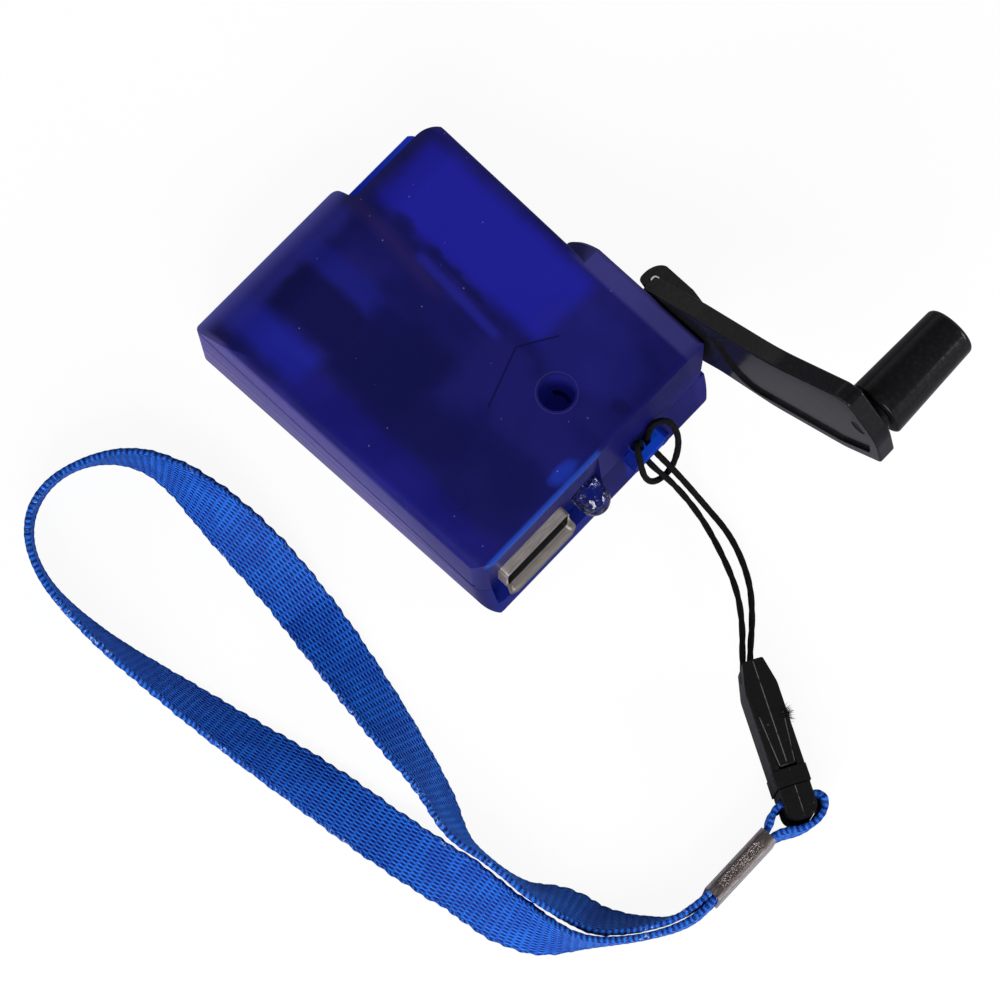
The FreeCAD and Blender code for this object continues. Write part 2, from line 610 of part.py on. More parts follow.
def make_lower(outer, hollow):
    top = PART_Z - POST_GAP
    board_foot = board_top() - BOARD_T
    posts = [rod("Z", TOP_SCREW_XY, SCREW_R + SCREW_CLEAR + POST_WALL, (0.0, top))]
    posts += [rod("Z", xy, FOOT_RECESS_R + POST_WALL, (0.0, top)) for xy in FOOT_SCREW_XY]
    posts += [rod("Z", xy, BOARD_POST_R, (0.0, board_foot - BOARD_CLEAR)) for xy in BOARD_POST_XY]
    posts += gear_plate_guides((0.0, PLATE_Z0 + GUIDE_GRIP))
    # two cradle ribs under the generator
    x = generator_x()
    for y in (GEN_BACK_Y + GEN_RIB_INSET[0], GEN_FRONT_Y - GEN_RIB_INSET[1]):
        rib = box((x - GEN_RIB_HALF, x + GEN_RIB_HALF), (y, y + GEN_RIB_T), (0.0, HUB_Z - GEN_RIB_DROP))
        posts.append(rib.cut(rod("Y", (x, HUB_Z), GEN_R + GEN_RIB_CLEAR, (-BEYOND, BEYOND))))
    for post in posts:
        hollow = hollow.cut(post)
    below = box((-BEYOND, BEYOND), (-BEYOND, BEYOND), (-BEYOND, PART_Z - PART_GAP / 2))
    lower = outer.common(below).cut(hollow).fuse(lanyard_lug()).removeSplitter()
    pilot_z = (TOP_RECESS_FLOOR - SCREW_LEN - PILOT_DEPTH, BEYOND)
    lower = lower.cut(rod("Z", TOP_SCREW_XY, SCREW_R + SCREW_CLEAR / 2, pilot_z))
    for xy in FOOT_SCREW_XY:
        lower = lower.cut(rod("Z", xy, FOOT_RECESS_R, (-1.0, FOOT_RECESS_FLOOR)))
        lower = lower.cut(rod("Z", xy, SCREW_R + SCREW_CLEAR, (-1.0, BEYOND)))
    return lower


def make_screw(xy, seat, up):
    """Pan head screw with a cross recess; seat is the z that the head rests on."""
    x, y = xy
    sense = 1.0 if up else -1.0
    gap = SCREW_SEAT_GAP
    shank = Part.makeCylinder(SCREW_R, SCREW_LEN, V(x, y, seat), V(0, 0, -sense))
    head = Part.makeCylinder(SCREW_HEAD_R, SCREW_HEAD_H, V(x, y, seat + gap * sense), V(0, 0, sense))
    neck = Part.makeCylinder(SCREW_R, 2 * gap, V(x, y, seat - gap * sense), V(0, 0, sense))
    screw = union([shank, neck, head])
    top = seat + (gap + SCREW_HEAD_H) * sense
    long, wide, deep = SCREW_CROSS
    for half_x, half_y in ((long, wide), (wide, long)):
        screw = screw.cut(box((x - half_x, x + half_x), (y - half_y, y + half_y), (top - deep, top + deep)))
    return screw


# ================================================================ gear train
def idler_1_x():
    return HUB_X - MODULE * (TOOTH_COUNT_CRANK + TOOTH_COUNT_PINION) / 2


def idler_2_x():
    return idler_1_x() - MODULE * (TOOTH_COUNT_IDLER_1 + TOOTH_COUNT_PINION) / 2


def generator_x():
    return idler_2_x() - MODULE * (TOOTH_COUNT_IDLER_2 + TOOTH_COUNT_PINION) / 2


def gear(teeth, x, layer, phase, bore):
    """Spur gear about Y through (x, HUB_Z); phase is the angle of one tooth from +X."""
    pitch_r = MODULE * teeth / 2
    tip_r = pitch_r + ADDENDUM * MODULE
    root_r = pitch_r - DEDENDUM * MODULE
    step = 2 * math.pi / teeth
    points = []
    for i in range(teeth):
        a = phase + i * step
        profile = [(root_r, -TOOTH_ROOT), (pitch_r, -TOOTH_PITCH), (tip_r, -TOOTH_TIP),
                   (tip_r, TOOTH_TIP), (pitch_r, TOOTH_PITCH), (root_r, TOOTH_ROOT)]
        for r, share in profile:
            t = a + share * step
            points.append((x + r * math.cos(t), HUB_Z + r * math.sin(t)))
    wheel = prism(points, [0] * len(points), in_xz(layer[0]), V(0, layer[1] - layer[0], 0))
    return wheel.cut(rod("Y", (x, HUB_Z), bore, (-BEYOND, BEYOND)))


def lightened(wheel, teeth, x, r_in):
    """Round holes in the web of a wheel, between radius r_in and the roots of its teeth."""
    r_out = MODULE * teeth / 2 - DEDENDUM * MODULE
    r_hole = (r_out - r_in) / 2 - LIGHTENING_RIM
    for i in range(LIGHTENING_COUNT):
        a = 2 * math.pi * (i + 0.5) / LIGHTENING_COUNT
        r_mid = (r_in + r_out) / 2
        centre = (x + r_mid * math.cos(a), HUB_Z + r_mid * math.sin(a))
        wheel = wheel.cut(rod("Y", centre, r_hole, (-BEYOND, BEYOND)))
    return wheel


def make_gears():
    """A tooth of each wheel points at the next pinion, which has a gap there."""
    x1 = idler_1_x()
    x2 = idler_2_x()
    tooth = math.pi
    gap = math.pi / TOOTH_COUNT_PINION
    bore = AXLE_R + AXLE_CLEAR
    pinion_r = MODULE * (TOOTH_COUNT_PINION / 2 + ADDENDUM)
    crank = gear(TOOTH_COUNT_CRANK, HUB_X, LAYER_A, tooth, SHAFT_R)
    save("crank_gear", lightened(crank, TOOTH_COUNT_CRANK, HUB_X, 2 * SHAFT_R))
    pinion_1 = gear(TOOTH_COUNT_PINION, x1, (LAYER_A[0] - PINION_STEP, LAYER_A[1]), gap, bore)
    wheel_1 = gear(TOOTH_COUNT_IDLER_1, x1, LAYER_B, tooth, bore)
    wheel_1 = lightened(wheel_1, TOOTH_COUNT_IDLER_1, x1, pinion_r)
    save("idler_gear_1", union([pinion_1, wheel_1]))
    pinion_2 = gear(TOOTH_COUNT_PINION, x2, (LAYER_B[0] - PINION_STEP, LAYER_B[1]), gap, bore)
    wheel_2 = gear(TOOTH_COUNT_IDLER_2, x2, LAYER_C, tooth, bore)
    wheel_2 = lightened(wheel_2, TOOTH_COUNT_IDLER_2, x2, pinion_r)
    save("idler_gear_2", union([pinion_2, wheel_2]))
    save("generator_pinion", gear(TOOTH_COUNT_PINION, generator_x(), LAYER_C, gap, GEN_SHAFT_R))


def make_gear_frame():
    """Two plates held apart by spacers and by the axles of the idlers."""
    z0 = PLATE_Z0 + PLATE_OUT_STEP
    inner = [(PLATE_IN_X0, PLATE_Z0), (PLATE_IN_X0, PLATE_Z1), (PLATE_X1, PLATE_Z1), (PLATE_X1, PLATE_Z0)]
    inner = prism(inner, [PLATE_IN_R, PLATE_IN_R, PLATE_R, PLATE_R], in_xz(PLATE_IN[0]),
                  V(0, PLATE_IN[1] - PLATE_IN[0], 0))
    outer = [(PLATE_OUT_X0, z0), (PLATE_OUT_X0, PLATE_Z1), (PLATE_X1, PLATE_Z1), (PLATE_X1, z0)]
    outer = prism(outer, [PLATE_R] * 4, in_xz(PLATE_OUT[0]), V(0, PLATE_OUT[1] - PLATE_OUT[0], 0))
    bearings = [(HUB_X, SHAFT_R + BEARING_CLEAR), (idler_1_x(), AXLE_R), (idler_2_x(), AXLE_R)]
    for x, r in bearings:
        inner = inner.cut(rod("Y", (x, HUB_Z), r, (0, BEYOND)))
        outer = outer.cut(rod("Y", (x, HUB_Z), r, (0, BEYOND)))
    inner = inner.cut(rod("Y", (generator_x(), HUB_Z), GEN_SHAFT_R + GEN_CLEAR, (0, BEYOND)))
    axles = [rod("Y", (x, HUB_Z), AXLE_R, (PLATE_IN[0], PLATE_OUT[1])) for x in (idler_1_x(), idler_2_x())]
    spacers = []
    for x in (PLATE_OUT_X0 + SPACER_INSET, PLATE_X1 - SPACER_INSET):
        for z in (z0 + SPACER_INSET, PLATE_Z1 - SPACER_INSET):
            spacers.append(rod("Y", (x, z), SPACER_R, (PLATE_IN[1], PLATE_OUT[0])))
    save("gear_plate_inner", inner)
    save("gear_plate_outer", outer)
    save("idler_axles", Part.makeCompound(axles))
    save("plate_spacers", Part.makeCompound(spacers))


# ================================================================ generator
def make_generator():
    """Can with an end cap, ring of coils inside it and a magnet on the shaft."""
    axis = (generator_x(), HUB_Z)
    shaft_hole = rod("Y", axis, GEN_SHAFT_R + GEN_CLEAR, (-BEYOND, BEYOND))
    coil_r1 = GEN_R - GEN_WALL - COIL_GAP
    coil_r0 = coil_r1 - COIL_T
    coil_y = (GEN_BACK_Y + COIL_END_BACK, GEN_FRONT_Y - COIL_END_FRONT)
    can = rod("Y", axis, GEN_R, (GEN_BACK_Y, GEN_FRONT_Y))
    can = can.cut(rod("Y", axis, GEN_R - GEN_WALL, (-BEYOND, GEN_FRONT_Y - GEN_FACE_T)))
    cap_y = (GEN_BACK_Y - GEN_CAP_T, GEN_BACK_Y - SKIM)
    bush_y = (cap_y[0] - GEN_BUSH_H, cap_y[0])
    cap = union([rod("Y", axis, GEN_R - GEN_CAP_STEP, cap_y), rod("Y", axis, GEN_BUSH_R, bush_y)])
    coils = rod("Y", axis, coil_r1, coil_y).cut(rod("Y", axis, coil_r0, (-BEYOND, BEYOND)))
    magnet = rod("Y", axis, coil_r0 - ROTOR_GAP, (coil_y[0] + ROTOR_END, coil_y[1] - ROTOR_END))
    save("generator_can", can.cut(shaft_hole))
    save("generator_end_cap", cap.cut(shaft_hole))
    save("generator_coils", coils)
    save("generator_magnet", magnet.cut(rod("Y", axis, GEN_SHAFT_R, (-BEYOND, BEYOND))))
    save("generator_shaft", rod("Y", axis, GEN_SHAFT_R, (GEN_SHAFT_Y0, LAYER_C[1])))


# ================================================================ electronics
def board_top():
    """Upper face of the circuit board, just under the socket."""
    return SOCKET_Z - SOCKET_H / 2 - BOARD_SOCKET_GAP


def make_electronics():
    top = board_top()
    save("circuit_board", box(BOARD_X, BOARD_Y, (top - BOARD_T, top)))
    lift = top + PART_LIFT
    sleeve_z = (lift, lift + CAPACITOR_H)
    rim_z = (sleeve_z[1], sleeve_z[1] + CAPACITOR_RIM)
    save("capacitor", union([rod("Z", CAPACITOR_XY, CAPACITOR_R, sleeve_z),
                             rod("Z", CAPACITOR_XY, CAPACITOR_R - CAPACITOR_RIM, rim_z)]))
    diodes = []
    axis_z = lift + DIODE_LIFT
    for i in range(DIODE_COUNT):
        y = DIODE_Y0 + DIODE_PITCH * i
        x0 = DIODE_X - DIODE_LEN / 2
        x1 = DIODE_X + DIODE_LEN / 2
        pieces = [rod("X", (y, axis_z), DIODE_R, (x0, x1)),
                  rod("X", (y, axis_z), DIODE_LEAD_R, (x0 - DIODE_LEAD, x1 + DIODE_LEAD))]
        for foot_x in (x0 - DIODE_LEAD + DIODE_LEAD_R, x1 + DIODE_LEAD - DIODE_LEAD_R):
            pieces.append(rod("Z", (foot_x, y), DIODE_LEAD_R, (lift, axis_z)))
        diodes.append(union(pieces))
    save("diodes", Part.makeCompound(diodes))
    save("voltage_regulator", box(REGULATOR_X, REGULATOR_Y, (lift, lift + REGULATOR_H)))
    waist = (lift + INDUCTOR_FLANGE, lift + INDUCTOR_H - INDUCTOR_FLANGE)
    drum = [rod("Z", INDUCTOR_XY, INDUCTOR_R, (lift, waist[0])),
            rod("Z", INDUCTOR_XY, INDUCTOR_WAIST_R, waist),
            rod("Z", INDUCTOR_XY, INDUCTOR_R, (waist[1], lift + INDUCTOR_H))]
    save("inductor", union(drum))


def socket_outline(inset, x):
    """Rounded block of the socket from x to its mouth, shrunk all round by inset."""
    hw = SOCKET_W / 2 - inset
    hh = SOCKET_H / 2 - inset
    points = [(SOCKET_Y - hw, SOCKET_Z - hh), (SOCKET_Y - hw, SOCKET_Z + hh),
              (SOCKET_Y + hw, SOCKET_Z + hh), (SOCKET_Y + hw, SOCKET_Z - hh)]
    return prism(points, [SOCKET_CORNER_R - inset] * 4, in_yz(x), V(SOCKET_X1 - x, 0, 0))


def make_socket():
    """Pressed metal shell with the moulded tongue and its four contacts."""
    shell = socket_outline(0.0, SOCKET_X0)
    shell = shell.cut(socket_outline(SOCKET_WALL, SOCKET_X0 + SOCKET_WALL))
    for y in (SOCKET_Y - SPRING_OUT, SOCKET_Y + SPRING_OUT):
        shell = shell.cut(box(SPRING_X, (y - SPRING_HALF, y + SPRING_HALF), (SOCKET_Z, BEYOND)))
    save("usb_shell", shell)
    back = SOCKET_X0 + SOCKET_WALL + BLOCK_GAP
    block_w = SOCKET_W / 2 - SOCKET_CORNER_R
    block_h = SOCKET_H / 2 - SOCKET_WALL - BLOCK_GAP
    block = box((back, back + BLOCK_T), (SOCKET_Y - block_w, SOCKET_Y + block_w),
                (SOCKET_Z - block_h, SOCKET_Z + block_h))
    tongue_top = SOCKET_Z + block_h - TONGUE_DROP
    tongue = box((back, SOCKET_X1 - TONGUE_BACK), (SOCKET_Y - TONGUE_W / 2, SOCKET_Y + TONGUE_W / 2),
                 (tongue_top - TONGUE_T, tongue_top))
    save("usb_insulator", union([block, tongue]))
    contacts = []
    contact_top = tongue_top - TONGUE_T - CONTACT_GAP
    for across, short in CONTACTS:
        y = SOCKET_Y + across
        contacts.append(box((back + BLOCK_T + CONTACT_GAP, SOCKET_X1 - TONGUE_BACK - short),
                            (y - CONTACT_W / 2, y + CONTACT_W / 2), (contact_top - CONTACT_T, contact_top)))
    save("usb_contacts", Part.makeCompound(contacts))


def make_lamp():
    axis = (LED_Y, SOCKET_Z)
    dome_x = LED_TIP_X - LED_R
    body = union([rod("X", axis, LED_R, (LED_X0, dome_x)),
                  rod("X", axis, LED_FLANGE_R, (LED_X0, LED_X0 + LED_FLANGE_T)),
                  Part.makeSphere(LED_R, V(dome_x, LED_Y, SOCKET_Z))])
    save("led_lamp", body)
    leads = []
    half = LED_LEAD_W / 2
    bend_x = LED_X0 - LED_LEAD_RUN
    foot_z = board_top() + PART_LIFT
    for y in (LED_Y - LED_LEAD_OUT, LED_Y + LED_LEAD_OUT):
        span = (y - half, y + half)
        run = box((bend_x, LED_X0 - SKIM), span, (SOCKET_Z - half, SOCKET_Z + half))
        drop = box((bend_x - half, bend_x + half), span, (foot_z, SOCKET_Z + half))
        leads.append(union([run, drop]))
    save("led_leads", Part.makeCompound(leads))


# ================================================================ crank
def crank_frame(shape):
    """Turn a shape drawn with its arm along +X about the hub axis to the rest angle."""
    shape.rotate(V(HUB_X, 0, HUB_Z), V(0, 1, 0), -CRANK_ANGLE)
    return shape


def rim_edges(shape, y):
    """Edges that lie in the plane at y."""
    return [e for e in shape.Edges if abs(e.BoundBox.YMin - y) < 1e-6 and abs(e.BoundBox.YMax - y) < 1e-6]


def make_hub():
    """Disc with its spigot, the tongue that the arm folds on, the shaft and the fold pin."""
    pin_x = HUB_X + PIN_ALONG
    disc = rod("Y", (HUB_X, HUB_Z), HUB_DISC_R, (HUB_DISC_Y0, HUB_DISC_Y1))
    disc = disc.makeFillet(HUB_DISC_EDGE, rim_edges(disc, HUB_DISC_Y1))
    spigot = rod("Y", (HUB_X, HUB_Z), SPIGOT_R, (SPIGOT_Y0, HUB_DISC_Y1 - HUB_DISC_EDGE))
    tongue_z = (HUB_Z + TONGUE_SPAN[0], HUB_Z + TONGUE_SPAN[1])
    tongue = rod("Z", (pin_x, PIN_Y), TONGUE_R, tongue_z)
    neck = box((pin_x - TONGUE_R, pin_x + TONGUE_R), (HUB_DISC_Y1 - HUB_DISC_EDGE, PIN_Y), tongue_z)
    hub = union([disc, spigot, tongue, neck])
    hub = hub.cut(rod("Z", (pin_x, PIN_Y), PIN_R, (0, BEYOND)))
    hub = hub.cut(rod("Y", (HUB_X, HUB_Z), SHAFT_R, (0, SHAFT_Y1)))
    save("crank_hub", crank_frame(hub))
    shaft = rod("Y", (HUB_X, HUB_Z), SHAFT_R, (PLATE_IN[0] - SHAFT_END, SHAFT_Y1 - SKIM))
    save("crank_shaft", crank_frame(shaft))
    pin = rod("Z", (pin_x, PIN_Y), PIN_R, (HUB_Z - PIN_HALF_LEN, HUB_Z + PIN_HALF_LEN))
    pin = pin.makeChamfer(PIN_CHAMFER, [e for e in pin.Edges if e.BoundBox.ZLength < 1e-6])
    save("hinge_pin", crank_frame(pin))


def arm_points(points):
    """Points given along the arm and across it, moved to the hub."""
    return [(HUB_X + along, HUB_Z + across) for along, across in points]


def arm_tip(inset):
    """Corners of the rounded knob end."""
    end = ARM_END - inset
    half = ARM_HALF - inset
    back, middle, crown, shoulder = ARM_TIP
    return [(end - back, -half), (end, middle), (end - crown[0], half - crown[1]), (end - shoulder, half)]


def arm_plate():
    """Wide plate, hollowed round the hub disc, with its long edges broken."""
    points = [(ARM_ROOT, ARM_LOWER[0][1])] + list(ARM_LOWER) + arm_tip(0.0) + list(reversed(ARM_UPPER))
    points.append((ARM_ROOT, ARM_UPPER[0][1]))
    plate = prism(arm_points(points), ARM_RADII, in_xz(ARM_Y0), V(0, ARM_T, 0))
    plate = plate.cut(rod("Y", (HUB_X, HUB_Z), ARM_START, (0, BEYOND)))
    plain_x = HUB_X + ARM_PLAIN
    long_edges = [e for e in plate.Edges if e.BoundBox.YLength < 1e-6 and e.BoundBox.XMax > plain_x]
    return plate.makeFillet(ARM_EDGE_R, long_edges)


def arm_root():
    """Root that reaches over the hub disc to the fold pin."""
    pin_x = HUB_X + PIN_ALONG
    bottom = PIN_Y - ROOT_SEAT
    step_x = HUB_X + ARM_START + ROOT_OVERLAP
    front = ARM_Y0 + ROOT_OVERLAP / 2
    points = [(pin_x - ROOT_R, bottom), (step_x, bottom), (step_x, front), (HUB_X + ROOT_LEN, front),
              (HUB_X + ROOT_LEN, ARM_Y0 + ARM_T - SKIM), (pin_x + ROOT_LEAN[0], PIN_Y + ROOT_LEAN[1]),
              (pin_x, PIN_Y + ROOT_R), (pin_x - ROOT_R, PIN_Y + ROOT_R)]
    return prism(points, ROOT_RADII, in_xy(HUB_Z - ROOT_HALF), V(0, 0, 2 * ROOT_HALF))


def arm_panel():
    """Recess in the side that faces the case when the arm is folded out."""
    low = [(along, across + PANEL_INSET) for along, across in ARM_LOWER[1:]]
    high = [(along, across - PANEL_INSET) for along, across in reversed(ARM_UPPER[1:])]
    points = [(PANEL_START, low[0][1])] + low + arm_tip(PANEL_INSET) + high
    points.append((PANEL_START, high[-1][1] + PANEL_RISE))
    return prism(arm_points(points), PANEL_RADII, in_xz(ARM_Y0 - 1.0), V(0, 1.0 + PANEL_DEPTH, 0))


def make_arm():
    """Arm with the neck that the knob turns against, the knob and its stem."""
    pin_x = HUB_X + PIN_ALONG
    knob_at = (HUB_X + KNOB_ALONG, HUB_Z + KNOB_ACROSS)
    back = ARM_Y0 + ARM_T
    arm = union([arm_plate(), arm_root()])
    fork = (HUB_Z + TONGUE_SPAN[0] - FORK_CLEAR, HUB_Z + TONGUE_SPAN[1] + FORK_CLEAR)
    arm = arm.cut(box((0.0, pin_x + ROOT_R + FORK_DEPTH), (0.0, BEYOND), fork))
    arm = arm.cut(rod("Z", (pin_x, PIN_Y), PIN_R + PIN_CLEAR, (0, BEYOND)))
    arm = arm.cut(arm_panel())
    arm = union([arm, rod("Y", knob_at, KNOB_NECK_R, (back - ARM_EDGE_R, back + KNOB_NECK_H))])
    arm = arm.cut(rod("Y", knob_at, STEM_R, (0, BEYOND)))
    save("crank_arm", crank_frame(arm))

    # the stem is pressed in the arm, and its head keeps the knob on
    knob_y0 = back + KNOB_NECK_H + KNOB_GAP
    head_y0 = knob_y0 + KNOB_BORE_DEPTH - STEM_HEAD_H - STEM_END_GAP
    head_y1 = head_y0 + STEM_HEAD_H
    stem = union([rod("Y", knob_at, STEM_R, (ARM_Y0 + PANEL_DEPTH + STEM_SUNK, head_y1)),
                  rod("Y", knob_at, STEM_HEAD_R, (head_y0, head_y1))])
    save("knob_stem", crank_frame(stem))

    knob_y1 = knob_y0 + KNOB_LEN
    bore_y1 = knob_y0 + KNOB_BORE_DEPTH
    grip = Part.makeCone(KNOB_R_BASE, KNOB_R_TIP, KNOB_LEN, V(knob_at[0], knob_y0, knob_at[1]), V(0, 1, 0))
    grip = grip.makeFillet(KNOB_FILLET, rim_edges(grip, knob_y1))
    grip = grip.makeFillet(KNOB_FOOT_FILLET, rim_edges(grip, knob_y0))
    grip = grip.cut(rod("Y", knob_at, STEM_R + STEM_CLEAR, (0, bore_y1)))
    grip = grip.cut(rod("Y", knob_at, STEM_HEAD_R + STEM_HEAD_CLEAR, (head_y0 - STEM_HEAD_CLEAR, bore_y1)))
    save("knob_grip", crank_frame(grip))


# ================================================================ cords
def tube(points, diameter, name):
    """Round tube: straight runs joined by tangent arcs, radius tied to the shorter run."""
    pts = [V(*p) for p in points]
    edges = []
    radii = []
    here = pts[0]
    for i in range(1, len(pts) - 1):
        back = pts[i - 1] - pts[i]
        ahead = pts[i + 1] - pts[i]
        shorter = min(back.Length, ahead.Length)
        u = V(back)
        u.normalize()
        w = V(ahead)
        w.normalize()
        half_turn = 0.5 * (math.pi - math.acos(max(-1.0, min(1.0, u.dot(w)))))
        reach = 0.45 * shorter
        r = reach / math.tan(half_turn)
        radii.append(round(r / diameter, 1))
        start = pts[i] + u * reach
        end = pts[i] + w * reach
        bisector = u + w
        bisector.normalize()
        far = r / math.cos(half_turn) - r
        middle = pts[i] + bisector * far
        edges.append(Part.LineSegment(here, start).toShape())
        edges.append(Part.Arc(start, middle, end).toShape())
        here = end
    edges.append(Part.LineSegment(here, pts[-1]).toShape())
    path = Part.Wire(edges)
    first = (pts[1] - pts[0]).normalize()
    ring = Part.Wire([Part.Circle(pts[0], first, diameter / 2).toShape()])
    solid = path.makePipeShell([ring], True, True)
    ideal = math.pi * (diameter / 2) ** 2 * path.Length
    print(name, "bend radii in diameters", radii)
    print(name, "length %.1f volume %.1f section x length %.1f" % (path.Length, solid.Volume, ideal))
    return solid


# Lanyard cord: from the clip under the lug bar, up through the slot, round in an
# open ring that both strands pass through, down the slot again and back to the clip.
# The points of the knot are measured from the outer face of the lug bar.
LANYARD_OUT = [
    (64.6, -4.1, 5.4), (61.4, -0.6, 5.2), (58.0, 3.9, 3.9), (53.6, 8.2, 2.5), (47.2, 11.4, 1.4),
    (40.8, 12.2, 1.5),
]
LANYARD_KNOT = [
    (4.4, 1.3, -6.8), (0.4, 1.0, -4.4), (-2.1, 0.9, -3.2), (-2.1, 1.0, 1.6), (-2.3, 2.4, 4.2),
    (-0.9, 4.4, 3.4), (1.4, 4.2, -0.4), (2.6, 2.4, -5.6), (2.8, 0.1, -7.7), (2.4, -2.4, -6.0),
    (1.5, -3.5, -2.0), (0.4, -3.3, 2.4), (-2.0, -1.9, 4.2), (-2.1, -0.5, 1.4), (-2.1, -0.5, -3.4),
    (0.4, -0.9, -4.6), (4.6, -0.1, -7.0),
]
LANYARD_BACK = [
    (41.4, 10.6, 1.5), (47.6, 8.4, 2.4), (53.4, 5.6, 3.3), (57.7, 2.0, 4.1), (60.9, -1.7, 5.1),
    (63.8, -4.5, 5.1),
]


def make_cord():
    knot = [(LUG_X1 + x, LUG_Y + y, PART_Z + z) for x, y, z in LANYARD_KNOT]
    cord = tube(LANYARD_OUT + knot + LANYARD_BACK, CORD_D, "lanyard_cord")
    save("lanyard_cord", cord)


# Webbing stations: centre of the band in plan and its lean from flat, positive when
# the edge on the left of the walk is the raised one.
X_IN = CRIMP_X - LAYER_PITCH / 2
X_OUT = CRIMP_X + LAYER_PITCH / 2
WEB_STATIONS = [
    (X_OUT, -24.4, 90), (X_OUT, -20.5, 90), (X_OUT, -18.8, 90), (82.85, -16.9, 91), (84.35, -15, 93),
    (85.1, -12.8, 94), (84.8, -10.6, 93), (83.7, -9.35, 91), (82.45, -9.7, 90), (81.2, -12, 90),
    (79.95, -14.2, 89), (79.65, -15.95, 89), (80.65, -17.5, 90), (X_IN, -18.5, 90), (X_IN, -25, 90),
    (X_IN, -30.7, 90), (X_IN, -31.8, 89), (80.55, -34.55, 88), (79.5, -37.5, 83), (77.35, -39.95, 75),
    (74.95, -42.4, 67), (71.5, -44.8, 56), (67.3, -45.7, 54), (64.1, -47.1, 63), (61.2, -48.35, 75),
    (57.7, -48.9, 82), (53.6, -49.3, 82), (50.2, -49.65, 76), (47.3, -49.2, 68), (44.1, -47.9, 61),
    (39.7, -46.5, 56), (34.8, -45.5, 47), (27.2, -43.9, 33), (19.4, -42.3, 22), (12.4, -40.9, 8),
    (5.8, -39.8, -6), (-1.2, -39.1, -18), (-8.3, -38.9, -34), (-14.8, -39, -54), (-19.8, -39.5, -71),
    (-24.8, -41.1, -86), (-28.8, -44.6, -98), (-31.2, -49.1, -103), (-31.9, -53.3, -101),
    (-31, -57.4, -97), (-28.6, -60.7, -93), (-25, -62.9, -89), (-20.4, -64.2, -84), (-14.6, -64.5, -78),
    (-8, -64.2, -70), (-1.2, -63.3, -61), (5.4, -62.3, -52), (11.2, -61.4, -44), (17.8, -60.3, -35),
    (25.2, -58.9, -22), (33.2, -57.6, -8), (41.8, -56.4, 6), (49.6, -55.1, 16), (54.6, -54, 22),
    (59.3, -53.8, 28), (63.95, -52.85, 41), (68.25, -51.4, 61), (71.3, -49.3, 82), (73.5, -47.4, 91),
    (75.45, -45.35, 94), (77.45, -43, 95), (79.3, -40.4, 95), (80.95, -37.55, 93), (82, -34.6, 91),
    (X_OUT, -31.8, 90.5), (X_OUT, -30.7, 90), (X_OUT, -25.2, 90),
]


def smooth(stations):
    """Points of the smooth curve that the stations draw in, two for each run between them."""
    curve = Part.BSplineCurve()
    curve.buildFromPoles([V(*station) for station in stations], False, 2)
    first = curve.FirstParameter
    last = curve.LastParameter
    count = 2 * len(stations)
    return [curve.value(first + (last - first) * i / count) for i in range(count + 1)]


def web_frame(points, i):
    """Centre, width direction and face normal of the band at point i."""
    x, y, lean = points[i]
    before = points[max(i - 1, 0)]
    after = points[min(i + 1, len(points) - 1)]
    heading = V(after.x - before.x, after.y - before.y, 0).normalize()
    left = V(-heading.y, heading.x, 0)
    a = math.radians(lean)
    across = left * math.cos(a) + V(0, 0, 1) * math.sin(a)
    face = heading.cross(across)
    drop = WEB_W / 2 * abs(math.sin(a)) + WEB_T / 2 * abs(math.cos(a))
    return V(x, y, WEB_REST + drop), across, face


def make_webbing():
    points = smooth(WEB_STATIONS)
    sections = []
    length = 0.0
    previous = None
    for i in range(len(points)):
        centre, across, face = web_frame(points, i)
        corners = []
        for sa, sf in ((-1, -1), (1, -1), (1, 1), (-1, 1)):
            corners.append(centre + across * (sa * WEB_W / 2) + face * (sf * WEB_T / 2))
        sections.append(Part.makePolygon(corners + [corners[0]]))
        if previous is not None:
            length += (centre - previous).Length
        previous = centre
    band = Part.makeLoft(sections, True, True)
    ideal = WEB_W * WEB_T * length
    print("webbing length %.1f volume %.1f section x length %.1f" % (length, band.Volume, ideal))
    save("strap_webbing", band)


# ================================================================ clip and crimp
def clip_place(shape):
    """Move a shape drawn along +X from the origin to the lie of the clip."""
    shape.rotate(V(0, 0, 0), V(0, 0, 1), CLIP_ANGLE)
    shape.translate(V(CLIP_TOP[0], CLIP_TOP[1], 0))
    return shape


def clip_prism(span, inset):
    """Part of the clip body between two distances along it, six-sided in section."""
    h = CLIP_W / 2 - inset
    z0 = CLIP_REST + inset
    z1 = CLIP_REST + CLIP_H - inset
    section = [(-h, z0 + CLIP_RIDGE), (-h, z1 - CLIP_RIDGE), (0, z1), (h, z1 - CLIP_RIDGE),
               (h, z0 + CLIP_RIDGE), (0, z0)]
    r = CLIP_EDGE_R
    body = prism(section, [r, r, 0, r, r, 0], in_yz(span[0]), V(span[1] - span[0], 0, 0))
    t = CLIP_TOP_W / 2 - inset
    plan = [(0, -t), (0, t), (CLIP_SHOULDER, h), (CLIP_LEN, h), (CLIP_LEN, -h), (CLIP_SHOULDER, -h)]
    plan_radii = [r, r, CLIP_SHOULDER_R, CLIP_END_R, CLIP_END_R, CLIP_SHOULDER_R]
    return body.common(prism(plan, plan_radii, in_xy(-1), V(0, 0, BEYOND)))


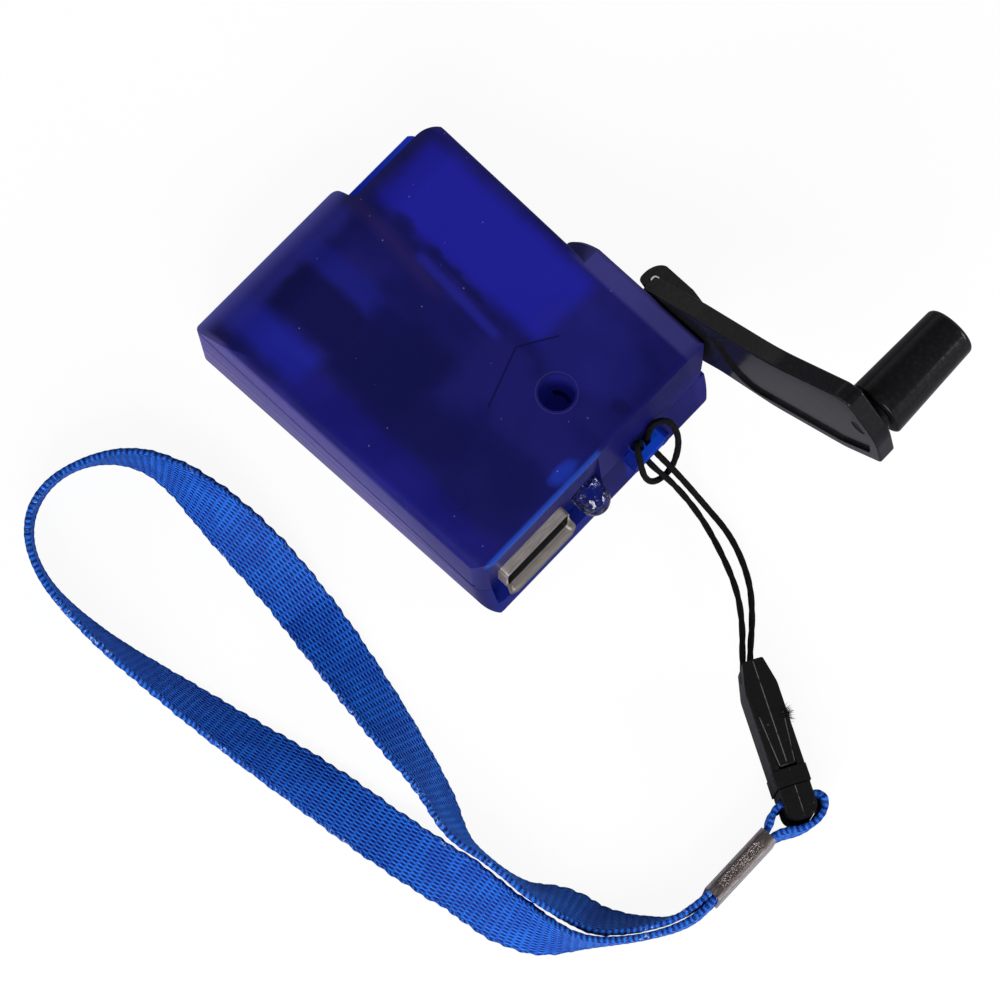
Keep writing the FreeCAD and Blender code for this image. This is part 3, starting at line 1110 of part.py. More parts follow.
def make_clip():
    """Hollow half with its window and cord hole, and the half with two sprung prongs."""
    joint = (CLIP_JOINT - CLIP_GAP / 2, CLIP_JOINT + CLIP_GAP / 2)
    collar = clip_prism((CLIP_JOINT - CLIP_COLLAR, joint[0]), -COLLAR_RISE)
    socket = union([clip_prism((0.0, joint[0]), 0.0), collar])
    inner_h = CLIP_W / 2 - CLIP_SIDE_WALL
    rise = CLIP_RIDGE + CLIP_EDGE_WALL
    inner_z = (CLIP_REST + rise, CLIP_REST + CLIP_H - rise)
    socket = socket.cut(box((CLIP_BORE_S, CLIP_LEN), (-inner_h, inner_h), inner_z))
    far_h = inner_h - WINDOW_TAPER
    window = [(WINDOW_S[0], -inner_h), (WINDOW_S[0], inner_h), (WINDOW_S[1], far_h), (WINDOW_S[1], -far_h)]
    socket = socket.cut(prism(window, WINDOW_RADII, in_xy(-1), V(0, 0, BEYOND)))
    hole_z = CLIP_REST + CLIP_H / 2
    socket = socket.cut(rod("X", (0.0, hole_z), CLIP_HOLE_R, (-1.0, CLIP_BORE_S + 1.0)))
    save("clip_socket", clip_place(socket))

    prong_h = inner_h - PRONG_CLEAR
    neck_h = prong_h - PRONG_NECK
    root = CLIP_JOINT + PRONG_ROOT
    guide_z = (hole_z - GUIDE_H / 2, hole_z + GUIDE_H / 2)
    pieces = [clip_prism((joint[1], CLIP_LEN), PLUG_INSET),
              box((GUIDE_TIP, root), (-GUIDE_HALF_W, GUIDE_HALF_W), guide_z)]
    low = inner_z[0] + PRONG_CLEAR
    high = inner_z[1] - PRONG_CLEAR - PRONG_T
    for z in (low, high):
        strip = [(PRONG_TIP, -prong_h), (PRONG_TIP, prong_h), (WINDOW_S[1], neck_h), (root, neck_h),
                 (root, -neck_h), (WINDOW_S[1], -neck_h)]
        pieces.append(prism(strip, PRONG_RADII, in_xy(z), V(0, 0, PRONG_T)))
    plug = union(pieces)
    slot_x = (SLOT_S - SLOT_W / 2, SLOT_S + SLOT_W / 2)
    slot_z = (WEB_REST - SLOT_CLEAR, WEB_REST + WEB_W + SLOT_CLEAR)
    plug = plug.cut(box(slot_x, (-CLIP_W, CLIP_W), slot_z))
    save("clip_plug", clip_place(plug))


def make_crimp():
    """Bent sheet sleeve squeezed on the two webbing layers."""
    half = (LAYER_PITCH + WEB_T) / 2 + CRIMP_CLEAR
    z0 = WEB_REST - CRIMP_EDGE_CLEAR
    z1 = WEB_REST + WEB_W + CRIMP_EDGE_CLEAR
    inner = [(CRIMP_X - half, z0), (CRIMP_X - half, z1), (CRIMP_X + half, z1), (CRIMP_X + half, z0)]
    w = CRIMP_WALL
    grow = ((-w, -w), (-w, w), (w, w), (w, -w))
    outer = [(x + dx, z + dz) for (x, z), (dx, dz) in zip(inner, grow)]
    length = CRIMP_Y[1] - CRIMP_Y[0]
    sleeve = prism(outer, [CRIMP_EDGE_R] * 4, in_xz(CRIMP_Y[0]), V(0, length, 0))
    hole = prism(inner, [CRIMP_INNER_R] * 4, in_xz(CRIMP_Y[0] - 1.0), V(0, length + 2.0, 0))
    save("crimp_sleeve", sleeve.cut(hole))


# ================================================================ build
outer_case, hollow_case = make_shells()
save("upper_shell", make_upper(outer_case, hollow_case))
save("lower_shell", make_lower(outer_case, hollow_case))
screws = [make_screw(TOP_SCREW_XY, TOP_RECESS_FLOOR, True)]
screws += [make_screw(xy, FOOT_RECESS_FLOOR, False) for xy in FOOT_SCREW_XY]
save("case_screws", Part.makeCompound(screws))
make_gears()
make_gear_frame()
make_generator()
make_electronics()
make_socket()
make_lamp()
make_hub()
make_arm()
make_cord()
make_webbing()
make_clip()
make_crimp()
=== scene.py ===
import bpy
import math
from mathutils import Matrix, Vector


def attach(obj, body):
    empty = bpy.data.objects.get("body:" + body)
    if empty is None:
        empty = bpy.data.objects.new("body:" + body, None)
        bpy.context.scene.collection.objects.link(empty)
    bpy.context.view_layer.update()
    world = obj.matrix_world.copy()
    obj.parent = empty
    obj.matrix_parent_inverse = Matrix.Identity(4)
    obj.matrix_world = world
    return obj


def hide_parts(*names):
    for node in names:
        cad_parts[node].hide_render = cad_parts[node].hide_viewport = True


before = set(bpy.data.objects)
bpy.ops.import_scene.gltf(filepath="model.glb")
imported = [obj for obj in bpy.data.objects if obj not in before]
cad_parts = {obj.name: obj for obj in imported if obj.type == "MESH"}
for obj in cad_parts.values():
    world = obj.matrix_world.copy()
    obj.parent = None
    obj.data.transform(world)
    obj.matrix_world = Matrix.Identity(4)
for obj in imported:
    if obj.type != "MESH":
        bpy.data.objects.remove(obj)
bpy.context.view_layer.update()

# ------------------------------------------------------------------ camera
# A long lens looks down on the charger from beyond the socket end, so that the
# top of the case, its socket end and the raised crank are all in view.
CAMERA_AT = Vector((0.1031, -0.0982, 0.5195))
CAMERA_AIM = Vector((0.01999, -0.01010, 0.0120))
camera_data = bpy.data.cameras.new("camera")
camera_data.lens = 128.05
camera_data.sensor_width = 36.0
camera = bpy.data.objects.new("camera", camera_data)
camera.location = CAMERA_AT
camera.rotation_euler = (CAMERA_AIM - CAMERA_AT).to_track_quat("-Z", "Y").to_euler()
bpy.context.collection.objects.link(camera)
bpy.context.scene.camera = camera


# ------------------------------------------------------------------ lanyard cord
# Thin black polyester cord, plaited from eight fine strands. It comes from the
# clip, passes up through the lug, makes one loose ring and goes back to the clip.
CORD_DIAMETER = 0.001
CORD_STRANDS = 8
CORD_PLAIT_LENGTH = 0.0034
CORD_PLAIT_DEPTH = 0.10     # share of the radius
CORD_AROUND = 24            # points round the cord
CORD_STEP = 0.00017         # distance between rings of points
ROUTE_SAMPLES = 16          # points between two control points of a route
CORD_POINTS_MM = [
    (64.6, -4.1, 5.4), (61.4, -0.6, 5.2), (58.0, 3.9, 3.9), (53.6, 8.2, 2.5), (47.2, 11.4, 1.4),
    (40.8, 12.2, 1.5), (35.6, 12.1, 5.2), (31.6, 11.8, 7.6), (29.1, 11.7, 8.8), (29.1, 11.8, 13.6),
    (28.9, 13.2, 16.2), (30.3, 15.2, 15.4), (32.6, 15.0, 11.6), (33.8, 13.2, 6.4), (34.0, 10.9, 4.3),
    (33.6, 8.4, 6.0), (32.7, 7.3, 10.0), (31.6, 7.5, 14.4), (29.2, 8.9, 16.2), (29.1, 10.3, 13.4),
    (29.1, 10.3, 8.6), (31.6, 9.9, 7.4), (35.8, 10.7, 5.0), (41.4, 10.6, 1.5), (47.6, 8.4, 2.4),
    (53.4, 5.6, 3.3), (57.7, 2.0, 4.1), (60.9, -1.7, 5.1), (63.8, -4.5, 5.1),
]


class Value:
    """A number or colour that a material works out; sums and products build its nodes."""

    def __init__(self, finish, socket):
        self.finish = finish
        self.socket = socket

    def maths(self, operation, first, second=None):
        inputs = [first] if second is None else [first, second]
        return self.finish.node("ShaderNodeMath", {"operation": operation}, inputs)

    def __add__(self, other):
        return self.maths("ADD", self, other)

    def __radd__(self, other):
        return self.maths("ADD", other, self)

    def __sub__(self, other):
        return self.maths("SUBTRACT", self, other)

    def __mul__(self, other):
        return self.maths("MULTIPLY", self, other)

    def __rmul__(self, other):
        return self.maths("MULTIPLY", other, self)

    def __truediv__(self, other):
        return self.maths("DIVIDE", self, other)

    def __abs__(self):
        return self.maths("ABSOLUTE", self)

    def __pow__(self, other):
        return self.maths("POWER", self, other)

    def at_least(self, other):
        return self.maths("MAXIMUM", self, other)

    def wave(self):
        return self.maths("SINE", self)

    def floor(self):
        return self.maths("FLOOR", self)

    def fade(self, start, end):
        """0 where the value is start, 1 where it is end, smooth between."""
        inputs = {"Value": self, "From Min": start, "From Max": end}
        return self.finish.node("ShaderNodeMapRange", {"interpolation_type": "SMOOTHSTEP"}, inputs)


class Finish:
    """One material. node() adds any node; the rest are those that most finishes share."""

    def __init__(self, name, **constants):
        self.material = bpy.data.materials.new(name)
        self.material.use_nodes = True
        self.tree = self.material.node_tree
        self.shader = self.tree.nodes["Principled BSDF"]
        for socket, value in constants.items():
            self.shader.inputs[socket.replace("_", " ")].default_value = value

    def node(self, kind, settings=None, inputs=(), output=0):
        made = self.tree.nodes.new(kind)
        for key, value in (settings or {}).items():
            setattr(made, key, value)
        pairs = inputs.items() if isinstance(inputs, dict) else enumerate(inputs)
        for key, value in pairs:
            if isinstance(value, Value):
                self.tree.links.new(value.socket, made.inputs[key])
            elif value is not None:
                made.inputs[key].default_value = value
        return Value(self, made.outputs[output])

    def feed(self, socket, value):
        self.tree.links.new(value.socket, self.shader.inputs[socket])

    def split(self, vector):
        """The three numbers of a vector."""
        parts = self.tree.nodes.new("ShaderNodeSeparateXYZ")
        self.tree.links.new(vector.socket, parts.inputs[0])
        return [Value(self, parts.outputs[i]) for i in range(3)]

    def place(self):
        """x, y and z on the piece, in millimetres."""
        spot = self.node("ShaderNodeTexCoord", output="Object")
        spot = self.node("ShaderNodeVectorMath", {"operation": "SCALE"}, {"Vector": spot, "Scale": 1000.0})
        return spot, self.split(spot)

    def noise(self, spot, scale, detail=2.0, roughness=0.5):
        inputs = {"Vector": spot, "Scale": scale, "Detail": detail, "Roughness": roughness}
        return self.node("ShaderNodeTexNoise", {}, inputs, "Fac")

    def mix(self, share, first, second):
        """first where share is 0, second where it is 1; both are colours."""
        made = self.tree.nodes.new("ShaderNodeMix")
        made.data_type = "RGBA"
        for index, value in ((0, share), (6, first), (7, second)):
            if isinstance(value, Value):
                self.tree.links.new(value.socket, made.inputs[index])
            else:
                made.inputs[index].default_value = (*value, 1.0) if isinstance(value, tuple) else value
        return Value(self, made.outputs[2])

    def relief(self, height, depth):
        """Fine relief of that depth in metres, as a normal."""
        inputs = {"Strength": 1.0, "Distance": depth, "Height": height}
        self.feed("Normal", self.node("ShaderNodeBump", {}, inputs, "Normal"))


def smooth_line(points_mm):
    """The smooth line of a cord whose route is given by its control points."""
    curve = bpy.data.curves.new("route", "CURVE")
    curve.dimensions = "3D"
    curve.resolution_u = ROUTE_SAMPLES
    spline = curve.splines.new("NURBS")
    spline.points.add(len(points_mm) - 1)
    for point, (x, y, z) in zip(spline.points, points_mm):
        point.co = (x / 1000, y / 1000, z / 1000, 1.0)
    spline.order_u = 3
    spline.use_endpoint_u = True
    holder = bpy.data.objects.new("route", curve)
    line = bpy.data.meshes.new_from_object(holder)
    path = [vertex.co.copy() for vertex in line.vertices]
    bpy.data.objects.remove(holder)
    bpy.data.curves.remove(curve)
    bpy.data.meshes.remove(line)
    return path


def spaced(path, step):
    """The same line with its points evenly spaced, and its length."""
    reach = [0.0]
    for a, b in zip(path, path[1:]):
        reach.append(reach[-1] + (b - a).length)
    count = max(2, round(reach[-1] / step))
    result = []
    index = 0
    for k in range(count + 1):
        target = reach[-1] * k / count
        while index < len(path) - 2 and reach[index + 1] < target:
            index += 1
        share = (target - reach[index]) / max(reach[index + 1] - reach[index], 1e-9)
        result.append(path[index].lerp(path[index + 1], min(max(share, 0.0), 1.0)))
    return result, reach[-1]


def new_piece(name, vertices, faces, material, body, smooth=True):
    mesh = bpy.data.meshes.new(name)
    mesh.from_pydata([tuple(v) for v in vertices], [], faces)
    mesh.polygons.foreach_set("use_smooth", [smooth] * len(faces))
    mesh.materials.append(material)
    piece = bpy.data.objects.new(name, mesh)
    bpy.context.collection.objects.link(piece)
    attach(piece, body)
    return piece


def tube_faces(rings, around):
    """Faces of a closed tube whose points lie ring after ring.

    They point outwards where the rings run anticlockwise, seen from the tube's far end.
    """
    faces = []
    for i in range(rings - 1):
        for j in range(around):
            k = (j + 1) % around
            faces.append((i * around + j, i * around + k, (i + 1) * around + k, (i + 1) * around + j))
    faces.append(tuple(reversed(range(around))))
    faces.append(tuple((rings - 1) * around + j for j in range(around)))
    return faces


def plaited_points(path):
    """Rings of points round the cord, raised where plaited strands lie on top."""
    vertices = []
    side = Vector((0, 0, 1))
    travelled = 0.0
    for i, here in enumerate(path):
        before = path[max(i - 1, 0)]
        after = path[min(i + 1, len(path) - 1)]
        heading = (after - before).normalized()
        side = (side - heading * side.dot(heading)).normalized()
        third = heading.cross(side)
        travelled += (here - before).length
        phase = 2 * math.pi * travelled / CORD_PLAIT_LENGTH
        for j in range(CORD_AROUND):
            turn = 2 * math.pi * j / CORD_AROUND
            one = math.cos(CORD_STRANDS / 2 * turn + phase)
            other = math.cos(CORD_STRANDS / 2 * turn - phase)
            radius = CORD_DIAMETER / 2 * (1 - CORD_PLAIT_DEPTH + CORD_PLAIT_DEPTH * max(one, other))
            vertices.append(here + (side * math.cos(turn) + third * math.sin(turn)) * radius)
    return vertices


cord_finish = Finish("plaited_black_cord", Roughness=0.8, IOR=1.35, Specular_IOR_Level=0.1)
spot, (x, y, z) = cord_finish.place()
fuzz = cord_finish.noise(spot, 4.0, 3.0)
cord_finish.feed("Base Color", cord_finish.mix(fuzz, (0.0022, 0.0022, 0.0026), (0.0065, 0.0065, 0.0075)))
cord_finish.relief(cord_finish.noise(spot, 9.0, 2.0), 0.00006)

cord_path, cord_length = spaced(smooth_line(CORD_POINTS_MM), CORD_STEP)
lanyard = new_piece("lanyard", plaited_points(cord_path), tube_faces(len(cord_path), CORD_AROUND),
                    cord_finish.material, "case")
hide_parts("lanyard_cord")


# ------------------------------------------------------------------ cord ends
# The two cut ends of the cord are knotted inside the clip; their frayed fibres stand
# out beside its latch in a small brush.
FIBRE_ROOT = Vector((0.0712, -0.0052, 0.0094))
FIBRE_LEAN = Vector((0.45, 0.75, 0.50))
FIBRE_TIP = 0.000008
FIBRE_SIZES = (0.45, 1.0)
FIBRE_INPUTS = {"Fibres": 170, "Length": 0.0023, "Thickness": 0.000085, "Spread": 0.55, "Bundle": 0.00050}


def fibre_graph(material):
    """Node group that grows a brush of tapering fibres upwards from the origin."""
    graph = bpy.data.node_groups.new("fibre_brush", "GeometryNodeTree")
    for name in FIBRE_INPUTS:
        kind = "NodeSocketInt" if name == "Fibres" else "NodeSocketFloat"
        graph.interface.new_socket(name, in_out="INPUT", socket_type=kind)
    graph.interface.new_socket("Geometry", in_out="OUTPUT", socket_type="NodeSocketGeometry")
    given = graph.nodes.new("NodeGroupInput")
    result = graph.nodes.new("NodeGroupOutput")

    def add(kind, settings, inputs):
        made = graph.nodes.new(kind)
        for key, value in settings.items():
            setattr(made, key, value)
        for key, value in inputs.items():
            if isinstance(value, bpy.types.NodeSocket):
                graph.links.new(value, made.inputs[key])
            else:
                made.inputs[key].default_value = value
        return made

    def scattered(reach, seed):
        """A random vector whose parts lie within reach of 0."""
        low = add("ShaderNodeVectorMath", {"operation": "SCALE"}, {0: (-1, -1, 0), "Scale": reach})
        high = add("ShaderNodeVectorMath", {"operation": "SCALE"}, {0: (1, 1, 0), "Scale": reach})
        pick = add("FunctionNodeRandomValue", {"data_type": "FLOAT_VECTOR"},
                   {0: low.outputs[0], 1: high.outputs[0], "Seed": seed})
        return pick.outputs[0]

    size = add("FunctionNodeRandomValue", {"data_type": "FLOAT"},
               {2: FIBRE_SIZES[0], 3: FIBRE_SIZES[1], "Seed": 5})
    roots = add("GeometryNodePoints", {},
                {"Count": given.outputs["Fibres"], "Position": scattered(given.outputs["Bundle"], 2)})
    fibre = add("GeometryNodeMeshCone", {},
                {"Vertices": 4, "Side Segments": 3, "Radius Top": FIBRE_TIP,
                 "Radius Bottom": given.outputs["Thickness"], "Depth": given.outputs["Length"]})
    brush = add("GeometryNodeInstanceOnPoints", {},
                {"Points": roots.outputs[0], "Instance": fibre.outputs[0],
                 "Rotation": scattered(given.outputs["Spread"], 3), "Scale": size.outputs[1]})
    real = add("GeometryNodeRealizeInstances", {}, {"Geometry": brush.outputs[0]})
    dressed = add("GeometryNodeSetMaterial", {}, {"Geometry": real.outputs[0], "Material": material})
    graph.links.new(dressed.outputs[0], result.inputs[0])
    return graph


graph = fibre_graph(cord_finish.material)
seedling = bpy.data.objects.new("seedling", bpy.data.meshes.new("seedling"))
bpy.context.collection.objects.link(seedling)
growth = seedling.modifiers.new("growth", "NODES")
growth.node_group = graph
for item in graph.interface.items_tree:
    if item.in_out == "INPUT":
        growth[item.identifier] = FIBRE_INPUTS[item.name]
grown = bpy.data.meshes.new_from_object(seedling.evaluated_get(bpy.context.evaluated_depsgraph_get()))
bpy.data.objects.remove(seedling)
turn = FIBRE_LEAN.to_track_quat("Z", "Y").to_matrix().to_4x4()
turn.translation = FIBRE_ROOT
grown.transform(turn)
frayed = bpy.data.objects.new("frayed_cord_ends", grown)
bpy.context.collection.objects.link(frayed)
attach(frayed, "case")


# ------------------------------------------------------------------ wrist strap
# Flat polyester webbing whose warp floats over the weft in a brick pattern, in one
# band: a small loop through the clip, then the big wrist loop, both ends crimped.
WEB_WIDTH = 0.0086
WEB_THICK = 0.0008
WEB_LIFT = 0.00055          # lower edge above the table
WARP_COLUMNS = 30
ROW_LENGTH = 0.00112
STEPS_PER_ROW = 4
FLOAT_DIP = 0.00013         # how deep the weft crosses a warp thread
FLOAT_HALF = 0.42           # half of a crossing's length, in rows
EDGE_WANDER = 0.00009
EDGE_SHARE = 0.45           # the selvedge starts here, from the middle
EDGE_SWELL = 0.48           # selvedge thicker than the band by this share
SWELL_AT = 0.6              # thickest place, in columns from the edge
SWELL_SPAN = 1.4
LEAN_SCALE = 20             # degrees of lean per millimetre of the helper line
X_IN = 81.05
X_OUT = 82.15
WEB_STATIONS_MM = [
    # x, y and lean in degrees: 0 lies flat, 90 stands on edge
    (X_OUT, -24.4, 90), (X_OUT, -20.5, 90), (X_OUT, -18.8, 90), (82.85, -16.9, 91), (84.35, -15, 93),
    (85.1, -12.8, 94), (84.8, -10.6, 93), (83.7, -9.35, 91), (82.45, -9.7, 90), (81.2, -12, 90),
    (79.95, -14.2, 89), (79.65, -15.95, 89), (80.65, -17.5, 90), (X_IN, -18.5, 90), (X_IN, -25, 90),
    (X_IN, -30.7, 90), (X_IN, -31.8, 89), (80.55, -34.55, 88), (79.5, -37.5, 83), (77.35, -39.95, 75),
    (74.95, -42.4, 67), (71.5, -44.8, 56), (67.3, -45.7, 54), (64.1, -47.1, 63), (61.2, -48.35, 75),
    (57.7, -48.9, 82), (53.6, -49.3, 82), (50.2, -49.65, 76), (47.3, -49.2, 68), (44.1, -47.9, 61),
    (39.7, -46.5, 56), (34.8, -45.5, 47), (27.2, -43.9, 33), (19.4, -42.3, 22), (12.4, -40.9, 8),
    (5.8, -39.8, -6), (-1.2, -39.1, -18), (-8.3, -38.9, -34), (-14.8, -39, -54), (-19.8, -39.5, -71),
    (-24.8, -41.1, -86), (-28.8, -44.6, -98), (-31.2, -49.1, -103), (-31.9, -53.3, -101),
    (-31, -57.4, -97), (-28.6, -60.7, -93), (-25, -62.9, -89), (-20.4, -64.2, -84), (-14.6, -64.5, -78),
    (-8, -64.2, -70), (-1.2, -63.3, -61), (5.4, -62.3, -52), (11.2, -61.4, -44), (17.8, -60.3, -35),
    (25.2, -58.9, -22), (33.2, -57.6, -8), (41.8, -56.4, 6), (49.6, -55.1, 16), (54.6, -54, 22),
    (59.3, -53.8, 28), (63.95, -52.85, 41), (68.25, -51.4, 61), (71.3, -49.3, 82), (73.5, -47.4, 91),
    (75.45, -45.35, 94), (77.45, -43, 95), (79.3, -40.4, 95), (80.95, -37.55, 93), (82, -34.6, 91),
    (X_OUT, -31.8, 90.5), (X_OUT, -30.7, 90), (X_OUT, -25.2, 90),
]


web_route = smooth_line([(x, y, lean / LEAN_SCALE) for x, y, lean in WEB_STATIONS_MM])
web_line = spaced(web_route, ROW_LENGTH / STEPS_PER_ROW)[0]
web_vertices = []
web_uv = []
web_path = []
travelled = 0.0
for i, station in enumerate(web_line):
    before = web_line[max(i - 1, 0)]
    after = web_line[min(i + 1, len(web_line) - 1)]
    heading = Vector((after.x - before.x, after.y - before.y, 0)).normalized()
    left = Vector((-heading.y, heading.x, 0))
    lean = math.radians(station.z * 1000 * LEAN_SCALE)
    across = left * math.cos(lean) + Vector((0, 0, 1)) * math.sin(lean)
    face = heading.cross(across)
    drop = WEB_WIDTH / 2 * abs(math.sin(lean)) + WEB_THICK / 2 * abs(math.cos(lean))
    centre = Vector((station.x, station.y, WEB_LIFT + drop))
    web_path.append(centre)
    travelled += (centre - web_path[max(i - 1, 0)]).length
    row = math.floor(travelled / ROW_LENGTH)
    row_share = travelled / ROW_LENGTH - row
    wander = EDGE_WANDER * (math.sin(travelled * 2900) + 0.7 * math.sin(travelled * 1130 + 1))
    crossing = max(0.0, 1 - ((row_share - 0.5) / FLOAT_HALF) ** 2)
    knot = 0.8 + 0.2 * math.sin(2 * math.pi * row_share)
    for surface in (1, -1):
        for column in range(WARP_COLUMNS + 1)[::surface]:
            share = column / WARP_COLUMNS
            dip = crossing if (row + column) % 2 == 0 else 0.0
            edge = min(share, 1 - share) * WARP_COLUMNS
            swell = EDGE_SWELL * max(0.0, 1 - abs(edge - SWELL_AT) / SWELL_SPAN) * knot
            thick = WEB_THICK / 2 * (1 + swell) - FLOAT_DIP * dip
            stray = wander if abs(share - 0.5) > EDGE_SHARE else 0.0
            reach = (WEB_WIDTH - 2 * EDGE_WANDER) * (share - 0.5) + stray
            web_vertices.append(centre + across * reach + face * thick * surface)
            web_uv.append((travelled, share * WEB_WIDTH))
web_faces = tube_faces(len(web_line), 2 * (WARP_COLUMNS + 1))

web_finish = Finish("royal_blue_webbing", Roughness=0.55, IOR=1.4, Specular_IOR_Level=0.22)
weave = web_finish.node("ShaderNodeUVMap", {"uv_map": "weave"})
along, over = web_finish.split(weave)[:2]
row_number = along * (1 / ROW_LENGTH)
row = row_number.floor()
row_share = row_number - row
column = over * (WARP_COLUMNS / WEB_WIDTH)
pair = (column + row) * 0.5
off_gap = abs(pair - (pair + 0.5).floor()) * 2
spot, (x, y, z) = web_finish.place()
fibre = web_finish.noise(spot, 5.0, 3.0)
patch = web_finish.noise(spot, 0.28, 2.0)
uneven = (fibre - 0.5) * 0.35
long_share = (row_share - 0.5) / 0.44
wide_share = (off_gap + uneven * 0.4) / 0.62
# painted shade darkens the dips where the weft crosses a warp thread; a painted highlight lightens the
# ridges beside them
gap = (long_share * long_share + wide_share * wide_share).fade(1.05, 0.30)
ridge = off_gap.fade(0.45, 0.95) * (row_share * math.pi).wave()
edge = over.fade(0.0006, 0.0002).at_least(over.fade(WEB_WIDTH - 0.0006, WEB_WIDTH - 0.0002))
slant = along * (2.7 * math.pi / ROW_LENGTH) + over * 9500.0 + fibre * 5.0
loops = (slant.wave() * 0.5 + 0.5).fade(0.20, 0.80)
body_blue = web_finish.mix(patch.fade(0.35, 0.65), (0.0016, 0.046, 0.330), (0.0035, 0.085, 0.470))
colour = web_finish.mix(ridge * 0.75 + uneven, body_blue, (0.022, 0.185, 0.720))
colour = web_finish.mix(gap * 0.95, colour, (0.0002, 0.006, 0.145))
# painted highlight on the selvedge's loops and painted shade between them
selvedge = web_finish.mix(loops, (0.0004, 0.010, 0.130), (0.008, 0.110, 0.52))
colour = web_finish.mix(edge * 0.90, colour, selvedge)
melted = web_finish.noise(spot, 1.9, 2.0).fade(0.60, 0.66) * edge
melted = melted * web_finish.noise(spot, 0.13, 1.0).fade(0.52, 0.62)
web_finish.feed("Base Color", web_finish.mix(melted * 0.55, colour, (0.40, 0.52, 0.78)))
web_finish.relief(ridge * 0.6 - gap + fibre * 0.3 + loops * edge * 0.7, 0.00010)

strap = new_piece("wrist_strap_band", web_vertices, web_faces, web_finish.material, "wrist_strap")
layer = strap.data.uv_layers.new(name="weave")
for loop in strap.data.loops:
    layer.data[loop.index].uv = web_uv[loop.vertex_index]
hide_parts("strap_webbing")


# ------------------------------------------------------------------ case shells
# Two halves moulded in translucent dark blue plastic, screwed together. Painted light makes
# open space behind a wall and rounded edges look paler, and painted shade the works inside darker.
# All places on the shells are in millimetres.
CHEVRON = ((11.2, -3.4), (7.9, 6.0), (11.3, 11.5))
MARK_WIDTH = 0.13
EJECTOR_AT = (16.9, -16.3)
SCREW_AT = (16.9, 5.0)
LUG_Y = 10.8


def dress(finish, *nodes):
    for node in nodes:
        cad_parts[node].data.materials.clear()
        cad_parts[node].data.materials.append(finish.material)


def oval(centre, radii, soft=0.5):
    """1 inside an oval on the case's plan, fading to 0 round it; drift frays its edge."""
    dx = (x - centre[0] + drift * 2.0) / radii[0]
    dy = (y - centre[1] + drift * 1.2) / radii[1]
    return (dx * dx + dy * dy).fade(1.0 + soft, 1.0 - soft)


def block(xs, ys, soft):
    """1 inside an upright rectangle on the plan, fading to 0 round it."""
    along = x + drift * 1.5
    across = y + drift
    within_x = along.fade(xs[0] - soft, xs[0] + soft) * along.fade(xs[1] + soft, xs[1] - soft)
    within_y = across.fade(ys[0] - soft, ys[0] + soft) * across.fade(ys[1] + soft, ys[1] - soft)
    return within_x * within_y


def straight_line(x0, y0, x1, y1, width, soft=0.3):
    """1 on a straight band drawn on the case's top, 0 off it."""
    length = math.hypot(x1 - x0, y1 - y0)
    ux = (x1 - x0) / length
    uy = (y1 - y0) / length
    run = (x - x0) * ux + (y - y0) * uy
    off = abs((y - y0) * ux - (x - x0) * uy)
    inside = run.fade(-soft, soft) * run.fade(length + soft, length - soft)
    return off.fade(width + soft * 0.5, width - soft * 0.5) * inside


def circle_line(centre, radius, width):
    """1 on a thin circle drawn on the case's top."""
    dx = x - centre[0]
    dy = y - centre[1]
    return abs((dx * dx + dy * dy) ** 0.5 - radius).fade(width, width * 0.3)


